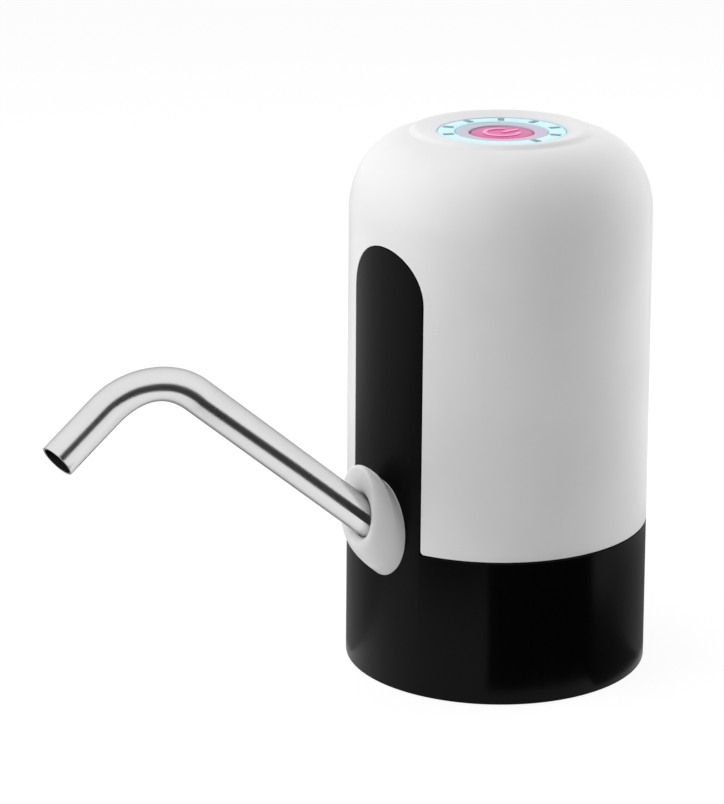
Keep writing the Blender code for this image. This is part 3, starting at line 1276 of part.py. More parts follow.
def make_outlet_block():
    low = (-BLOCK_HALF_WIDTH, BLOCK_FRONT, BLOCK_FOOT)
    high = (BLOCK_HALF_WIDTH, BLOCK_FRONT + BLOCK_DEPTH, BLOCK_TOP)
    body = rounded(block("outlet_block", low, high, GREY_PLASTIC), BLOCK_EDGE, 1)
    snout_foot = -BORE_DEPTH - SNOUT_WALL
    join(body, on_spout_axis(rod("block_snout", SNOUT_RADIUS, snout_foot, SNOUT_OUTER, ROUND_STEPS)))
    barb_top = BLOCK_TOP + BLOCK_BARB_LENGTH
    join(body, at(rod("block_barb", OUTLET_BARB_RADIUS, BLOCK_TOP - EMBED, barb_top), 0, PASSAGE_Y))
    bore = rod("block_bore", SPOUT_BORE_RADIUS, -BORE_DEPTH, SNOUT_OUTER + OVERRUN, ROUND_STEPS)
    cut(body, on_spout_axis(bore))
    passage_foot = SPOUT_HEIGHT - OVERRUN
    passage = rod("block_passage", BLOCK_PASSAGE_RADIUS, passage_foot, barb_top + OVERRUN)
    cut(body, at(passage, 0, PASSAGE_Y))


def make_outlet_hose():
    """Up from the block, over in half a circle, and down to the pump's outlet."""
    start = Vector((0, PASSAGE_Y, BLOCK_TOP + GAP))
    end = Vector((OUTLET_X, OUTLET_Y, HEAD_TOP + GAP))
    across = Vector((end.x - start.x, end.y - start.y, 0))
    middle = Vector(((start.x + end.x) / 2, (start.y + end.y) / 2, OUTLET_HOSE_RISE))
    up = Vector((0, 0, across.length / 2))
    centre = [start]
    for i in range(OUTLET_HOSE_STEPS + 1):
        turn = math.pi * i / OUTLET_HOSE_STEPS
        centre.append(middle - across / 2 * math.cos(turn) + up * math.sin(turn))
    centre.append(end)
    pipe("outlet_hose", centre, OUTLET_HOSE_OUTER, OUTLET_HOSE_WALL, SMALL_STEPS, SILICONE)


# Leads


def eased(points):
    """A smooth line through the points, a few steps to each span."""
    ends = [2 * points[0] - points[1]] + points + [2 * points[-1] - points[-2]]
    line = []
    for before, start, end, after in zip(ends, ends[1:], ends[2:], ends[3:]):
        for i in range(LEAD_SPAN_STEPS):
            t = i / LEAD_SPAN_STEPS
            line.append(
                0.5 * (2 * start + (end - before) * t
                       + (2 * before - 5 * start + 4 * end - after) * t ** 2
                       + (3 * start - before - 3 * end + after) * t ** 3)
            )
    return line + [points[-1]]


def lead(name, points, material):
    curve(name, eased([Vector(point) for point in points]), LEAD_RADIUS, 8, material, True)


def make_leads():
    board = BOARD_FOOT - GAP
    clear = GAP + LEAD_RADIUS
    terminal = MOTOR_TOP + TERMINAL_HEIGHT + GAP
    middle = (terminal + board) / 2
    left = MOTOR_X - TERMINAL_SPACING
    right = MOTOR_X + TERMINAL_SPACING
    sway = 2 * LEAD_RADIUS
    for name, x, way, material in (
        ("motor_lead_red", left, -1, RED_LEAD), ("motor_lead_black", right, 1, BLACK_LEAD),
    ):
        bowed = x + way * 2 * sway
        lead(name, [
            (x, PUMP_Y, terminal), (x, PUMP_Y, terminal + 4 * sway), (bowed, PUMP_Y - sway, middle),
            (x, PUMP_Y, board - 4 * sway), (x, PUMP_Y, board),
        ], material)
    tab_edge = CELL_Y - CELL_RADIUS / 2
    tab_top = HIGH_TAB_FOOT + TAB_THICKNESS + clear
    lead("battery_lead_red", [
        (0, tab_edge, tab_top), (TAB_HALF_WIDTH, tab_edge - CELL_RADIUS / 2, tab_top),
        (CELL_RADIUS, WALL_FRONT - sway, tab_top + sway / 4),
        (CELL_RADIUS + sway, WALL_FRONT - 3 * sway, board - sway),
        (CELL_RADIUS + sway, WALL_FRONT - 3 * sway, board),
    ], RED_LEAD)
    outside = -(CELL_RADIUS + TAB_REACH - LEAD_RADIUS / 2)
    tab = LOW_TAB_FOOT + TAB_THICKNESS + GAP
    lead("battery_lead_black", [
        (outside, CELL_Y, tab), (outside, CELL_Y, tab + CLIP_LIFT),
        (outside - sway / 2, CELL_Y, (tab + board) / 2), (outside, CELL_Y, CELL_TOP - CLIP_LIFT),
        (outside + 2 * sway, CELL_Y - 3 * sway, board - 2 * sway),
        (outside + 2 * sway, CELL_Y - 3 * sway, board),
    ], BLACK_LEAD)
    x = -CHARGE_BOARD_HALF_WIDTH + 2 * LEAD_RADIUS
    y = WALL_BACK + 4 * LEAD_RADIUS
    far = outside - 2 * sway
    lead("charge_lead", [
        (x, y, CHARGE_BOARD_TOP + GAP), (x - sway, y, CHARGE_BOARD_TOP + 2 * sway),
        (far, y, BATTERY_SHELF_TOP + 2 * sway), (far - sway, y + sway, CELL_FOOT + CELL_LENGTH / 2),
        (far, y, WALL_TOP), (far, y, board),
    ], RED_LEAD)


make_outer_shell()
make_base_housing()
make_bottom_deck()
make_neck_seals()
make_inlet()
make_pump_body()
make_pump_cover()
make_pump_inside()
make_motor()
make_motor_strap()
make_chassis()
make_battery()
make_control_board()
make_light_tray()
make_light_ring()
make_bezel()
make_button()
make_charge_port()
make_collar()
make_spout()
make_outlet_block()
make_outlet_hose()
make_leads()
make_screws()
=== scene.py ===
"""Looks of a bottled water pump: a white domed body on a black base, with a bent steel spout.

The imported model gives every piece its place. Lengths are metres.
"""

from math import acos, atan2, cos, pi, radians, sin, tau

import bpy
from mathutils import Matrix, Vector


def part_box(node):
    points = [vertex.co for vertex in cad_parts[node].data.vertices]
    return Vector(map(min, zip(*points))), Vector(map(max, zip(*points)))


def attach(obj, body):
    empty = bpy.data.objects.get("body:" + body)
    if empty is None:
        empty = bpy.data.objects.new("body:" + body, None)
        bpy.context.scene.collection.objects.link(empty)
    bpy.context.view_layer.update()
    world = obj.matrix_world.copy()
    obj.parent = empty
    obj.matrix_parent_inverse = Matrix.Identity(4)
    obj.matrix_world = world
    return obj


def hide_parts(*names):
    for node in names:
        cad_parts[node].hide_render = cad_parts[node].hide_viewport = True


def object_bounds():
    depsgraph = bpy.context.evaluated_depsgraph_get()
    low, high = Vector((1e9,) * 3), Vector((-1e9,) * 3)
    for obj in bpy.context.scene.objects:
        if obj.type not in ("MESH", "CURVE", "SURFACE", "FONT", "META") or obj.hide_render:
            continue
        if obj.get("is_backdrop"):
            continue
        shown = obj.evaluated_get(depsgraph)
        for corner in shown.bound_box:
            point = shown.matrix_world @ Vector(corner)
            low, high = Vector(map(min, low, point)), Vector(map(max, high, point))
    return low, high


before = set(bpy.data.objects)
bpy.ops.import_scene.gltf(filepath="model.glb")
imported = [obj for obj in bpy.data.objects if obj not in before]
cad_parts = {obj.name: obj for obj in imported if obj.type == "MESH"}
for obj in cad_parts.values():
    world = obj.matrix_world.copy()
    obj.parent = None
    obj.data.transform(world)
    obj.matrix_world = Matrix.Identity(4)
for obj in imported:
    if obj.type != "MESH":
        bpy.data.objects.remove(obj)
cad_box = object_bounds()


# Camera
# It stands to the right of the spout and a little above the pump, far off, with a long lens,
# which keeps the upright sides of the body nearly parallel.

CAMERA_TARGET = Vector((0, 0, 0.065))
CAMERA_DISTANCE = 0.67825
CAMERA_AZIMUTH = radians(48.5)
CAMERA_ELEVATION = radians(17.059)
CAMERA_ROLL = radians(0.842)
FRAME_WIDTH = 724
FRAME_HEIGHT = 804
TARGET_PIXEL_X = 497.686
TARGET_PIXEL_Y = 388.18
LENS_PIXELS = 2868.9
SENSOR_HEIGHT = 36

bpy.ops.object.camera_add()
camera = bpy.context.object
camera.data.sensor_fit = "VERTICAL"
camera.data.sensor_height = SENSOR_HEIGHT
camera.data.lens = LENS_PIXELS * SENSOR_HEIGHT / FRAME_HEIGHT
aside = atan2(TARGET_PIXEL_X - FRAME_WIDTH / 2, LENS_PIXELS)
above = atan2(TARGET_PIXEL_Y - FRAME_HEIGHT / 2, LENS_PIXELS)
around = Matrix.Rotation(CAMERA_AZIMUTH, 4, "Z")
look = around @ Matrix.Rotation(pi / 2 - CAMERA_ELEVATION, 4, "X")
look = look @ Matrix.Rotation(aside, 4, "Y") @ Matrix.Rotation(above, 4, "X")
look = look @ Matrix.Rotation(CAMERA_ROLL, 4, "Z")
reach = Vector((0, -cos(CAMERA_ELEVATION), sin(CAMERA_ELEVATION))) * CAMERA_DISTANCE
camera.matrix_world = Matrix.Translation(CAMERA_TARGET + around @ reach) @ look
bpy.context.scene.camera = camera
bpy.context.scene.view_settings.view_transform = "Standard"


# Table and surroundings
# A plain white table that keeps a faint shadow of the pump, in a room that is white to the eye,
# to mirrors and to glass, and a soft grey as a source of light.

TABLE_SIZE = 12
TABLE_DROP = 0.0002
TABLE_COLOR = (0.7, 0.7, 0.7)
TABLE_GLOW = 0.9
SHADOW_COLOR = (0.16, 0.16, 0.16)
SKY_LIGHT = 0.3


class Wire:
    """An output of a material's node. Sums on it add Math nodes, and add() any other node."""

    def __init__(self, socket):
        self.socket = socket

    def add(self, kind, inputs, output=0, **settings):
        """A new node. Its settings are made first, then its inputs get values or other wires."""
        tree = self.socket.id_data
        node = tree.nodes.new("ShaderNode" + kind)
        for name, value in settings.items():
            setattr(node, name, value)
        for name, value in inputs.items():
            if isinstance(value, Wire):
                tree.links.new(value.socket, node.inputs[name])
            else:
                node.inputs[name].default_value = value
        return Wire(node.outputs[output])

    def feed(self, node, name):
        """Leads this output into an input of a node that is already there."""
        self.socket.id_data.links.new(self.socket, node.inputs[name])

    def show(self):
        """Makes this output the surface of its material."""
        self.feed(self.socket.id_data.nodes["Material Output"], "Surface")

    def math(self, operation, first, second):
        return self.add("Math", {0: first, 1: second}, operation=operation)

    def between(self, low, high):
        """Rises smoothly from 0 to 1 as this value goes from low to high."""
        limits = {"Value": self, "From Min": low, "From Max": high}
        return self.add("MapRange", limits, interpolation_type="SMOOTHSTEP")

    def mix(self, first, second):
        """Goes from the first colour to the second as this value goes from 0 to 1."""
        ends = [end if isinstance(end, Wire) else (*end, 1) for end in (first, second)]
        return self.add("Mix", {0: self, 6: ends[0], 7: ends[1]}, 2, data_type="RGBA")

    def tint(self, shader, first, second):
        """Mixes the base colour of a shader from two colours."""
        self.mix(first, second).feed(shader, "Base Color")

    def stretched(self, factors):
        """This vector with each of its three parts multiplied by a factor."""
        return self.add("VectorMath", {0: self, 1: factors}, operation="MULTIPLY")

    def noise(self, scale, detail):
        """Noise between 0 and 1, read at the place that this vector gives."""
        return self.add("TexNoise", {"Vector": self, "Scale": scale, "Detail": detail})

    def bump(self, distance, shader):
        """Gives a shader's surface a relief from this height, times a distance."""
        node = self.add("Bump", {"Distance": distance, "Height": self})
        node.feed(shader, "Normal")

    def __add__(self, other):
        return self.math("ADD", self, other)

    __radd__ = __add__

    def __rsub__(self, other):
        return self.math("SUBTRACT", other, self)

    def __mul__(self, other):
        return self.math("MULTIPLY", self, other)

    __rmul__ = __mul__


def bare(name):
    """A new material without its shader, and its node tree."""
    material = bpy.data.materials.new(name)
    material.use_nodes = True
    tree = material.node_tree
    tree.nodes.remove(tree.nodes["Principled BSDF"])
    return material, tree


def background_rays(tree):
    """1 for what the camera, a mirror or glass sees of the surroundings, and 0 for light."""
    path = tree.nodes.new("ShaderNodeLightPath")
    seen = Wire(path.outputs["Is Camera Ray"]) + Wire(path.outputs["Is Glossy Ray"])
    return seen.math("MINIMUM", seen + Wire(path.outputs["Is Transmission Ray"]), 1)


bpy.ops.mesh.primitive_plane_add(size=TABLE_SIZE, location=(0, 0, -TABLE_DROP))
table = bpy.context.object
table.name = "table"
table_finish, tree = bare("table_white")
seen = background_rays(tree)
matt = seen.add("BsdfDiffuse", {"Color": (*TABLE_COLOR, 1)})
glow = seen.add("Emission", {"Strength": TABLE_GLOW})
shade = seen.add("BsdfDiffuse", {"Color": (*SHADOW_COLOR, 1)})
shown = seen.add("AddShader", {0: glow, 1: shade})
seen.add("MixShader", {0: seen, 1: matt, 2: shown}).show()
table.data.materials.append(table_finish)
table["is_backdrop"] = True

world = bpy.data.worlds.new("surroundings")
bpy.context.scene.world = world
world.use_nodes = True
background = world.node_tree.nodes["Background"]
background.inputs["Color"].default_value = (1, 1, 1, 1)
seen = background_rays(world.node_tree)
(seen * (1 - SKY_LIGHT) + SKY_LIGHT).feed(background, "Strength")


# Lamps and cards
# A large soft lamp stands on each side and one hangs above. Cards that only mirrors see lie on the
# table and stand round the body. They set the tones of the black plastic and of the steel, and
# the spout's section adds one more.

LAMP_TARGET = Vector((0, 0, 0.07))
LAMPS = (
    # name, degrees to the right of the camera, distance, height, width and height of lamp, power
    ("left_lamp", -66, 0.75, 0.15, 0.6, 0.8, 3.3),
    ("right_lamp", 115, 0.75, 0.15, 0.6, 0.8, 4.7),
    ("top_lamp", -95, 0.30, 0.80, 0.7, 0.7, 3.3),
)
WELD = 0.000001
CARD_STEPS = 24
CARD_HEIGHT = 0.0004
CARDS = (
    # name, degrees to the right of the spout where it starts and ends, distances, brightness
    ("front_card", -5, 45, 0.100, 0.6, 0),
    ("side_card", 92, 130, 0.037, 0.085, 0.1),
    ("right_card", 130, 235, 0.037, 0.12, 0.3),
    ("back_card", 205, 262, 0.12, 1.5, 0.5),
    ("left_card", -98, -30, 0.037, 0.2, 0.45),
)
ROUND_CARD_FOOT = 0.0006
ROUND_CARDS = (
    # name, degrees to the right of the spout, radius, top, side that shows, brightness
    ("body_card", -60, 95, 0.0385, 0.118, "outside", 0.95),
    ("base_card", 46, 93, 0.0405, 0.0345, "inside", 0),
)


def alone(*objects):
    """Selects only these objects, if any, and makes the first one active."""
    bpy.ops.object.select_all(action="DESELECT")
    for obj in objects[::-1]:
        obj.select_set(True)
        bpy.context.view_layer.objects.active = obj


def drawn(name, points):
    """A chain of edges through these points. It stays in edit mode, with all of it selected."""
    alone()
    bpy.ops.mesh.primitive_plane_add()
    obj = bpy.context.object
    obj.name = name
    bpy.ops.object.mode_set(mode="EDIT")
    bpy.ops.mesh.select_all(action="SELECT")
    bpy.ops.mesh.merge(type="CENTER")
    bpy.ops.transform.translate(value=points[0])
    for before, after in zip(points, points[1:]):
        step = Vector(after) - Vector(before)
        bpy.ops.mesh.extrude_region_move(TRANSFORM_OT_translate={"value": step})
    bpy.ops.mesh.select_all(action="SELECT")
    return obj


def closed():
    """Welds the mesh in edit mode, turns its faces outwards and leaves edit mode."""
    bpy.ops.mesh.select_all(action="SELECT")
    bpy.ops.mesh.remove_doubles(threshold=WELD)
    bpy.ops.mesh.normals_make_consistent(inside=False)
    bpy.ops.object.mode_set(mode="OBJECT")


for name, aside, distance, height, wide, tall, power in LAMPS:
    turn = CAMERA_AZIMUTH + radians(aside)
    stand = Vector((sin(turn) * distance, -cos(turn) * distance, height))
    bpy.ops.object.light_add(type="AREA", location=stand)
    lamp = bpy.context.object
    lamp.name = name
    lamp.rotation_euler = (LAMP_TARGET - stand).to_track_quat("-Z", "Y").to_euler()
    lamp.data.shape = "RECTANGLE"
    lamp.data.size = wide
    lamp.data.size_y = tall
    lamp.data.energy = power
    lamp.visible_glossy = False


def for_mirrors(card, brightness, side="both"):
    """Makes a card of this brightness that only mirrors see, from both sides or from one."""
    card_finish, tree = bare(card.name)
    emission = tree.nodes.new("ShaderNodeEmission")
    emission.inputs["Strength"].default_value = brightness
    shown = Wire(emission.outputs[0])
    if side != "both":
        back = Wire(tree.nodes.new("ShaderNodeNewGeometry").outputs["Backfacing"])
        hidden = back if side == "outside" else 1 - back
        clear = back.add("BsdfTransparent", {})
        shown = back.add("MixShader", {0: hidden, 1: shown, 2: clear})
    shown.show()
    card.data.materials.append(card_finish)
    for rays in ("camera", "diffuse", "transmission", "shadow"):
        setattr(card, "visible_" + rays, False)
    card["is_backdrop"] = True


def swept_card(name, start, end, first, second):
    """A card swept about the body's axis from two points (radius, height), between two angles."""
    turn = radians(start - 90)
    card = drawn(name, [(r * cos(turn), r * sin(turn), z) for r, z in (first, second)])
    angle = radians(end - start)
    bpy.ops.mesh.spin(steps=CARD_STEPS, angle=angle, center=(0, 0, 0), axis=(0, 0, -1))
    closed()
    return card


for name, start, end, near, distant, brightness in CARDS:
    card = swept_card(name, start, end, (near, CARD_HEIGHT), (distant, CARD_HEIGHT))
    for_mirrors(card, brightness)
for name, start, end, radius, top, side, brightness in ROUND_CARDS:
    card = swept_card(name, start, end, (radius, ROUND_CARD_FOOT), (radius, top))
    for_mirrors(card, brightness, side)


# Black base
# One moulding of black ABS: the cup round the bottle's neck, a spigot that the shell snaps over,
# and a tongue at the front that fills the shell's window, flush with the shell.

OUTER_STEPS = 192
GAP = 0.0003
OVERRUN = 0.0020
BODY_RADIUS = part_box("base_housing")[1].x
BODY_DRAFT_SHARE = 0.0076
SHELL_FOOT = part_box("outer_shell")[0].z
BODY_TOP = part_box("outer_shell")[1].z
STEP_HEIGHT = SHELL_FOOT - GAP
SHELL_WALL = 0.0020
BASE_WALL = 0.0022
BASE_EDGE = 0.0002
STEP_EDGE = 0.00015
EDGE_STEPS = 4
ROD_SIDES = 64
SMOOTH_ANGLE = 35
SPIGOT_RISE = 0.0040
SPIGOT_WALL = 0.0018
WINDOW_HALF_WIDTH = 0.0121
WINDOW_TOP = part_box("base_housing")[1].z + GAP
WINDOW_CORNER = 0.0010
WINDOW_STEPS = 64
FLANGE_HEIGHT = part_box("bottom_deck")[1].z + GAP
FLANGE_THICKNESS = 0.0020
FLANGE_HOLE_RADIUS = 0.0220
SNOUT_HOLE_RADIUS = 0.0067
SPOUT_HEIGHT = 0.03836
SPOUT_TILT = radians(50.48)
MIDDLE = (0.3, 0.7)
MOULD_SCALE = 4200
TONE_SCALE = 30
TONE_SHIFT = 0.03
BLACK = ((0.002, 0.002, 0.0023), 0.33, 0.000006)  # colour, roughness, relief
BLACK_GLEAM = 0.08


def body_radius(height):
    """Outer radius of the body, which narrows a little towards the top."""
    return BODY_RADIUS - BODY_DRAFT_SHARE * height


def arc(centre, radius, start, end, steps=EDGE_STEPS):
    """Points along an arc in the plane of its centre's two numbers, with angles in degrees."""
    turns = [radians(start + (end - start) * i / steps) for i in range(steps + 1)]
    return [(centre[0] + radius * cos(t), centre[1] + radius * sin(t)) for t in turns]


def spun(name, outline, steps):
    """A turned piece from its closed outline of (radius, height) points."""
    ends = outline + outline[:1] if min(r for r, z in outline) > WELD else outline
    obj = drawn(name, [(r, 0, z) for r, z in ends])
    bpy.ops.mesh.spin(steps=steps, angle=tau, center=(0, 0, 0), axis=(0, 0, 1))
    closed()
    return obj


def slab(name, outline, way):
    """A solid from a closed outline of points, filled and extruded along a vector."""
    obj = drawn(name, outline)
    bpy.ops.mesh.edge_face_add()
    bpy.ops.mesh.extrude_region_move(TRANSFORM_OT_translate={"value": way})
    closed()
    return obj


def carve(piece, cutter, operation="DIFFERENCE"):
    """Cuts a piece with a solid, or joins the two, and removes the solid."""
    change = piece.modifiers.new("carve", "BOOLEAN")
    change.operation = operation
    change.object = cutter
    alone(piece)
    bpy.ops.object.modifier_apply(modifier=change.name)
    bpy.data.objects.remove(cutter)


def smoothed(piece, angle=SMOOTH_ANGLE):
    """Shades a piece smooth, but for edges that are sharper than this angle in degrees."""
    alone(piece)
    bpy.ops.object.shade_smooth_by_angle(angle=radians(angle))


def coated(piece, material, angle=SMOOTH_ANGLE):
    """Shades a piece smooth and gives it its finish."""
    smoothed(piece, angle)
    piece.data.materials.append(material)


def window_solid(gap, foot, corner):
    """The window less a gap all round, as a solid through the front. Its foot may flare out."""
    half = WINDOW_HALF_WIDTH - gap
    flared = half + corner
    spring = WINDOW_TOP - WINDOW_HALF_WIDTH
    outline = arc((0, spring), half, 0, 180, WINDOW_STEPS)
    if corner:
        outline += arc((-flared, foot + corner), corner, 0, -90)
        outline += [(-flared, foot - OVERRUN), (flared, foot - OVERRUN)]
        outline += arc((flared, foot + corner), corner, -90, -180)
    else:
        outline += [(-half, foot), (half, foot)]
    front = -BODY_RADIUS - OVERRUN
    return slab("window", [(x, front, z) for x, z in outline], (0, BODY_RADIUS / 2, 0))


def on_spout_axis(obj):
    """Turns and moves a piece made along Z so that it lies along the spout's axis."""
    turn = Matrix.Rotation(SPOUT_TILT, 4, "X")
    seat = Matrix.Translation((0, -body_radius(SPOUT_HEIGHT), SPOUT_HEIGHT))
    alone(obj)
    obj.matrix_world = seat @ turn
    bpy.ops.object.transform_apply()
    return obj


def rod(radius, low, high, x=0, y=0):
    """A round upright cutter."""
    middle = (x, y, (low + high) / 2)
    alone()
    bpy.ops.mesh.primitive_cylinder_add(
        vertices=ROD_SIDES, radius=radius, depth=high - low, location=middle
    )
    bpy.ops.object.transform_apply()
    return bpy.context.object


def spout_rod(radius, low, high):
    """A round cutter along the spout's axis."""
    return on_spout_axis(rod(radius, low, high))


def finish(name, color, roughness, constants=()):
    """A Principled material, its shader, and Object coordinates for its patterns."""
    material = bpy.data.materials.new(name)
    material.use_nodes = True
    shader = material.node_tree.nodes["Principled BSDF"]
    for socket, value in [("Base Color", (*color, 1)), ("Roughness", roughness), *constants]:
        shader.inputs[socket].default_value = value
    place = Wire(material.node_tree.nodes.new("ShaderNodeTexCoord").outputs["Object"])
    return material, shader, place


def moulded(name, color, roughness, relief, constants=()):
    """Moulded plastic: a fine even grain from the mould, and a slight drift in tone and gloss."""
    material, shader, place = finish(name, color, roughness, constants)
    drift = place.noise(TONE_SCALE, 3)
    grain = place.noise(MOULD_SCALE, 2)
    pale = [min(1, part * (1 + TONE_SHIFT)) for part in color]
    dull = [part * (1 - TONE_SHIFT) for part in color]
    drift.between(*MIDDLE).tint(shader, dull, pale)
    (roughness - 0.04 + 0.05 * drift + 0.04 * grain).feed(shader, "Roughness")
    grain.bump(relief, shader)
    return material, shader, place


black_plastic = moulded("black_satin_plastic", *BLACK, [("Specular IOR Level", BLACK_GLEAM)])[0]
spigot_outer = body_radius(STEP_HEIGHT) - SHELL_WALL - GAP
spigot_inner = spigot_outer - SPIGOT_WALL
spigot_top = STEP_HEIGHT + SPIGOT_RISE
flange_top = FLANGE_HEIGHT + FLANGE_THICKNESS
knee = STEP_HEIGHT - SPIGOT_WALL
slope_foot = knee - (body_radius(knee) - BASE_WALL - spigot_inner)
wall_top = WINDOW_TOP + OVERRUN
wall = arc((BODY_RADIUS - BASE_EDGE, BASE_EDGE), BASE_EDGE, -90, 0)
wall += [
    (body_radius(wall_top), wall_top),
    (body_radius(wall_top) - BASE_WALL, wall_top),
    (body_radius(spigot_top) - BASE_WALL, spigot_top),
    (spigot_inner, spigot_top),
    (spigot_inner, knee),
    (body_radius(slope_foot) - BASE_WALL, slope_foot),
    (body_radius(flange_top) - BASE_WALL, flange_top),
    (FLANGE_HOLE_RADIUS, flange_top),
    (FLANGE_HOLE_RADIUS, FLANGE_HEIGHT),
    (BODY_RADIUS - BASE_WALL, FLANGE_HEIGHT),
    (BODY_RADIUS - BASE_WALL, 0),
]
black_base = spun("black_base", wall, OUTER_STEPS)
far = BODY_RADIUS + OVERRUN
deep = spigot_inner - OVERRUN
rim = body_radius(STEP_HEIGHT)
above_step = [
    (spigot_outer, STEP_HEIGHT),
    (rim - STEP_EDGE, STEP_HEIGHT),
    (rim + STEP_EDGE, STEP_HEIGHT - 2 * STEP_EDGE),
    (far, STEP_HEIGHT - 2 * STEP_EDGE),
    (far, wall_top + OVERRUN),
    (deep, wall_top + OVERRUN),
    (deep, spigot_top),
    (spigot_outer, spigot_top),
]
trim = spun("base_trim", above_step, OUTER_STEPS)
carve(trim, window_solid(GAP, STEP_HEIGHT - OVERRUN, 0))
carve(black_base, trim)
carve(black_base, spout_rod(SNOUT_HOLE_RADIUS, -BODY_RADIUS / 2, BODY_RADIUS / 2))
coated(black_base, black_plastic)
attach(black_base, "housing")
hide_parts("base_housing")


# White shell
# One moulding of white ABS with a satin gloss: a slightly tapered can with a domed shoulder, a
# soft ridge round the shallow dish on top, the window at the front and the port at the back.
# The white next to the lit ring is painted bluish, as painted light from the ring.

DISH_RADIUS = 0.01505
DISH_DEPTH = 0.0009
DISH_STEPS = 14
DISH_HEIGHT = BODY_TOP - DISH_DEPTH
SHOULDER_RISE = 0.01835
SHOULDER_HEIGHT = DISH_HEIGHT - SHOULDER_RISE
SHOULDER_STEPS = 40
CREST_RADIUS = 0.01965
SHOULDER_RUN = body_radius(SHOULDER_HEIGHT) - CREST_RADIUS
RIM_RUN = 0.0021
RIM_STEPS = 10
SOCKET_HALF_HEIGHT = 0.0013
PORT_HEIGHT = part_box("charge_socket")[0].z + SOCKET_HALF_HEIGHT
PORT_HALF_WIDTH = 0.0043
PORT_HALF_HEIGHT = 0.0018
PORT_CORNER = 0.0012
PORT_QUARTERS = ((1, 1, 0), (-1, 1, 90), (-1, -1, 180), (1, -1, 270))
SOFT_RELIEF = 0.000004
WHITE = ((0.86, 0.86, 0.86), 0.34, SOFT_RELIEF)
# Bluish colour painted on the white near the lit ring, as painted light from it, and the radii over
# which it fades out
PAINTED_RING_GLOW = (0.76, 0.8, 0.88)
PAINTED_RING_GLOW_RADII = (0.0148, 0.0170)


def crown(inset):
    """Shoulder, soft rim and dish, set in by a wall, from the body's side to the hole on top."""
    points = []
    rim_turn = acos(RIM_RUN / (SHOULDER_RUN - inset))
    for i in range(SHOULDER_STEPS + 1):
        turn = rim_turn * i / SHOULDER_STEPS
        radius = CREST_RADIUS + (SHOULDER_RUN - inset) * cos(turn)
        points.append((radius, SHOULDER_HEIGHT + (SHOULDER_RISE - inset) * sin(turn)))
    rim_foot = points[-1][1]
    for i in range(1, RIM_STEPS + 1):
        share = i / RIM_STEPS
        rise = (BODY_TOP - inset - rim_foot) * (1 - cos(pi * share)) / 2
        points.append((CREST_RADIUS + RIM_RUN * (1 - share), rim_foot + rise))
    for i in range(1, DISH_STEPS + 1):
        share = i / DISH_STEPS
        fall = DISH_DEPTH * (1 - cos(pi * share)) / 2
        radius = CREST_RADIUS + (DISH_RADIUS - CREST_RADIUS) * share
        points.append((radius, BODY_TOP - inset - fall))
    return points


def from_axis(place):
    """Distance from the body's axis."""
    return place.add("VectorMath", {0: place.stretched((1, 1, 0))}, 1, operation="LENGTH")


white_plastic = moulded("white_satin_plastic", *WHITE)[0]
shell_plastic, shader, place = moulded("white_shell_plastic", *WHITE)
plain = Wire(shader.inputs["Base Color"].links[0].from_socket)
# Painted light: the white's colour turns bluish towards the lit ring
painted_ring_glow = from_axis(place).between(*PAINTED_RING_GLOW_RADII).mix(PAINTED_RING_GLOW, plain)
painted_ring_glow.feed(shader, "Base Color")
foot = body_radius(SHELL_FOOT)
skin = [(foot - SHELL_WALL, SHELL_FOOT), (foot - STEP_EDGE, SHELL_FOOT)]
skin += [(foot, SHELL_FOOT + STEP_EDGE)] + crown(0) + crown(SHELL_WALL)[::-1]
white_shell = spun("white_shell", skin, OUTER_STEPS)
carve(white_shell, window_solid(0, SHELL_FOOT, WINDOW_CORNER))
port = []
for side, level, start in PORT_QUARTERS:
    x = side * (PORT_HALF_WIDTH - PORT_CORNER)
    z = PORT_HEIGHT + level * (PORT_HALF_HEIGHT - PORT_CORNER)
    port += arc((x, z), PORT_CORNER, start, start + 90, EDGE_STEPS * 2)
port = [(x, BODY_RADIUS / 2, z) for x, z in port]
carve(white_shell, slab("port", port, (0, BODY_RADIUS, 0)))
coated(white_shell, shell_plastic)
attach(white_shell, "housing")
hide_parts("outer_shell")


# Oval collar
# A smooth egg-shaped boss of the same white ABS, glued to the front of the base. Its crest leads
# in to a hole that just clears the tube.

COLLAR_FOOT_HALF = (0.00799, 0.01234)
COLLAR_FOOT_DROP = 0.0002
COLLAR_FOOT_SINK = 0.0007
COLLAR_FOOT_TILT = radians(-4.2)
COLLAR_ROOT = 0.0023
COLLAR_CREST_HALF = (0.0060, 0.00935)
COLLAR_CREST_HEIGHT = 0.00663
COLLAR_CREST_REACH = 0.0069
COLLAR_TILT = radians(3.3)
COLLAR_SIDES = 96
COLLAR_STEPS = 16
MOUTH_RADIUS = 0.0042
MOUTH_DEPTH = 0.0018
MOUTH_HALF = (0.0042, 0.0053)
MOUTH_DROP = 0.0021
SEAL_ROOM_RADIUS = 0.0052
SEAL_ROOM_TOP = 0.0004
COLLAR_SMOOTH_ANGLE = 40


def lofted(name, stations, sides, filled):
    """A skin over oval rings. Each has a centre, half a width, half a height and a tilt about X."""
    alone()
    bpy.ops.mesh.primitive_circle_add(vertices=sides, radius=1, rotation=(pi / 2, 0, 0))
    bpy.ops.object.transform_apply()
    obj = bpy.context.object
    obj.name = name
    bpy.ops.object.mode_set(mode="EDIT")
    bpy.ops.mesh.select_all(action="SELECT")
    if filled:
        bpy.ops.mesh.edge_face_add()
    before = (Vector((0, 0, 0)), 1, 1, 0)
    for after in stations:
        step = after[0] - before[0]
        if before[0].length:
            bpy.ops.mesh.extrude_region_move(TRANSFORM_OT_translate={"value": step})
        else:
            bpy.ops.transform.translate(value=step)
        grow = (after[1] / before[1], 1, after[2] / before[2])
        bpy.ops.transform.rotate(value=-before[3], orient_axis="X", center_override=after[0])
        bpy.ops.transform.resize(value=grow, center_override=after[0])
        bpy.ops.transform.rotate(value=after[3], orient_axis="X", center_override=after[0])
        before = after
    closed()
    return obj


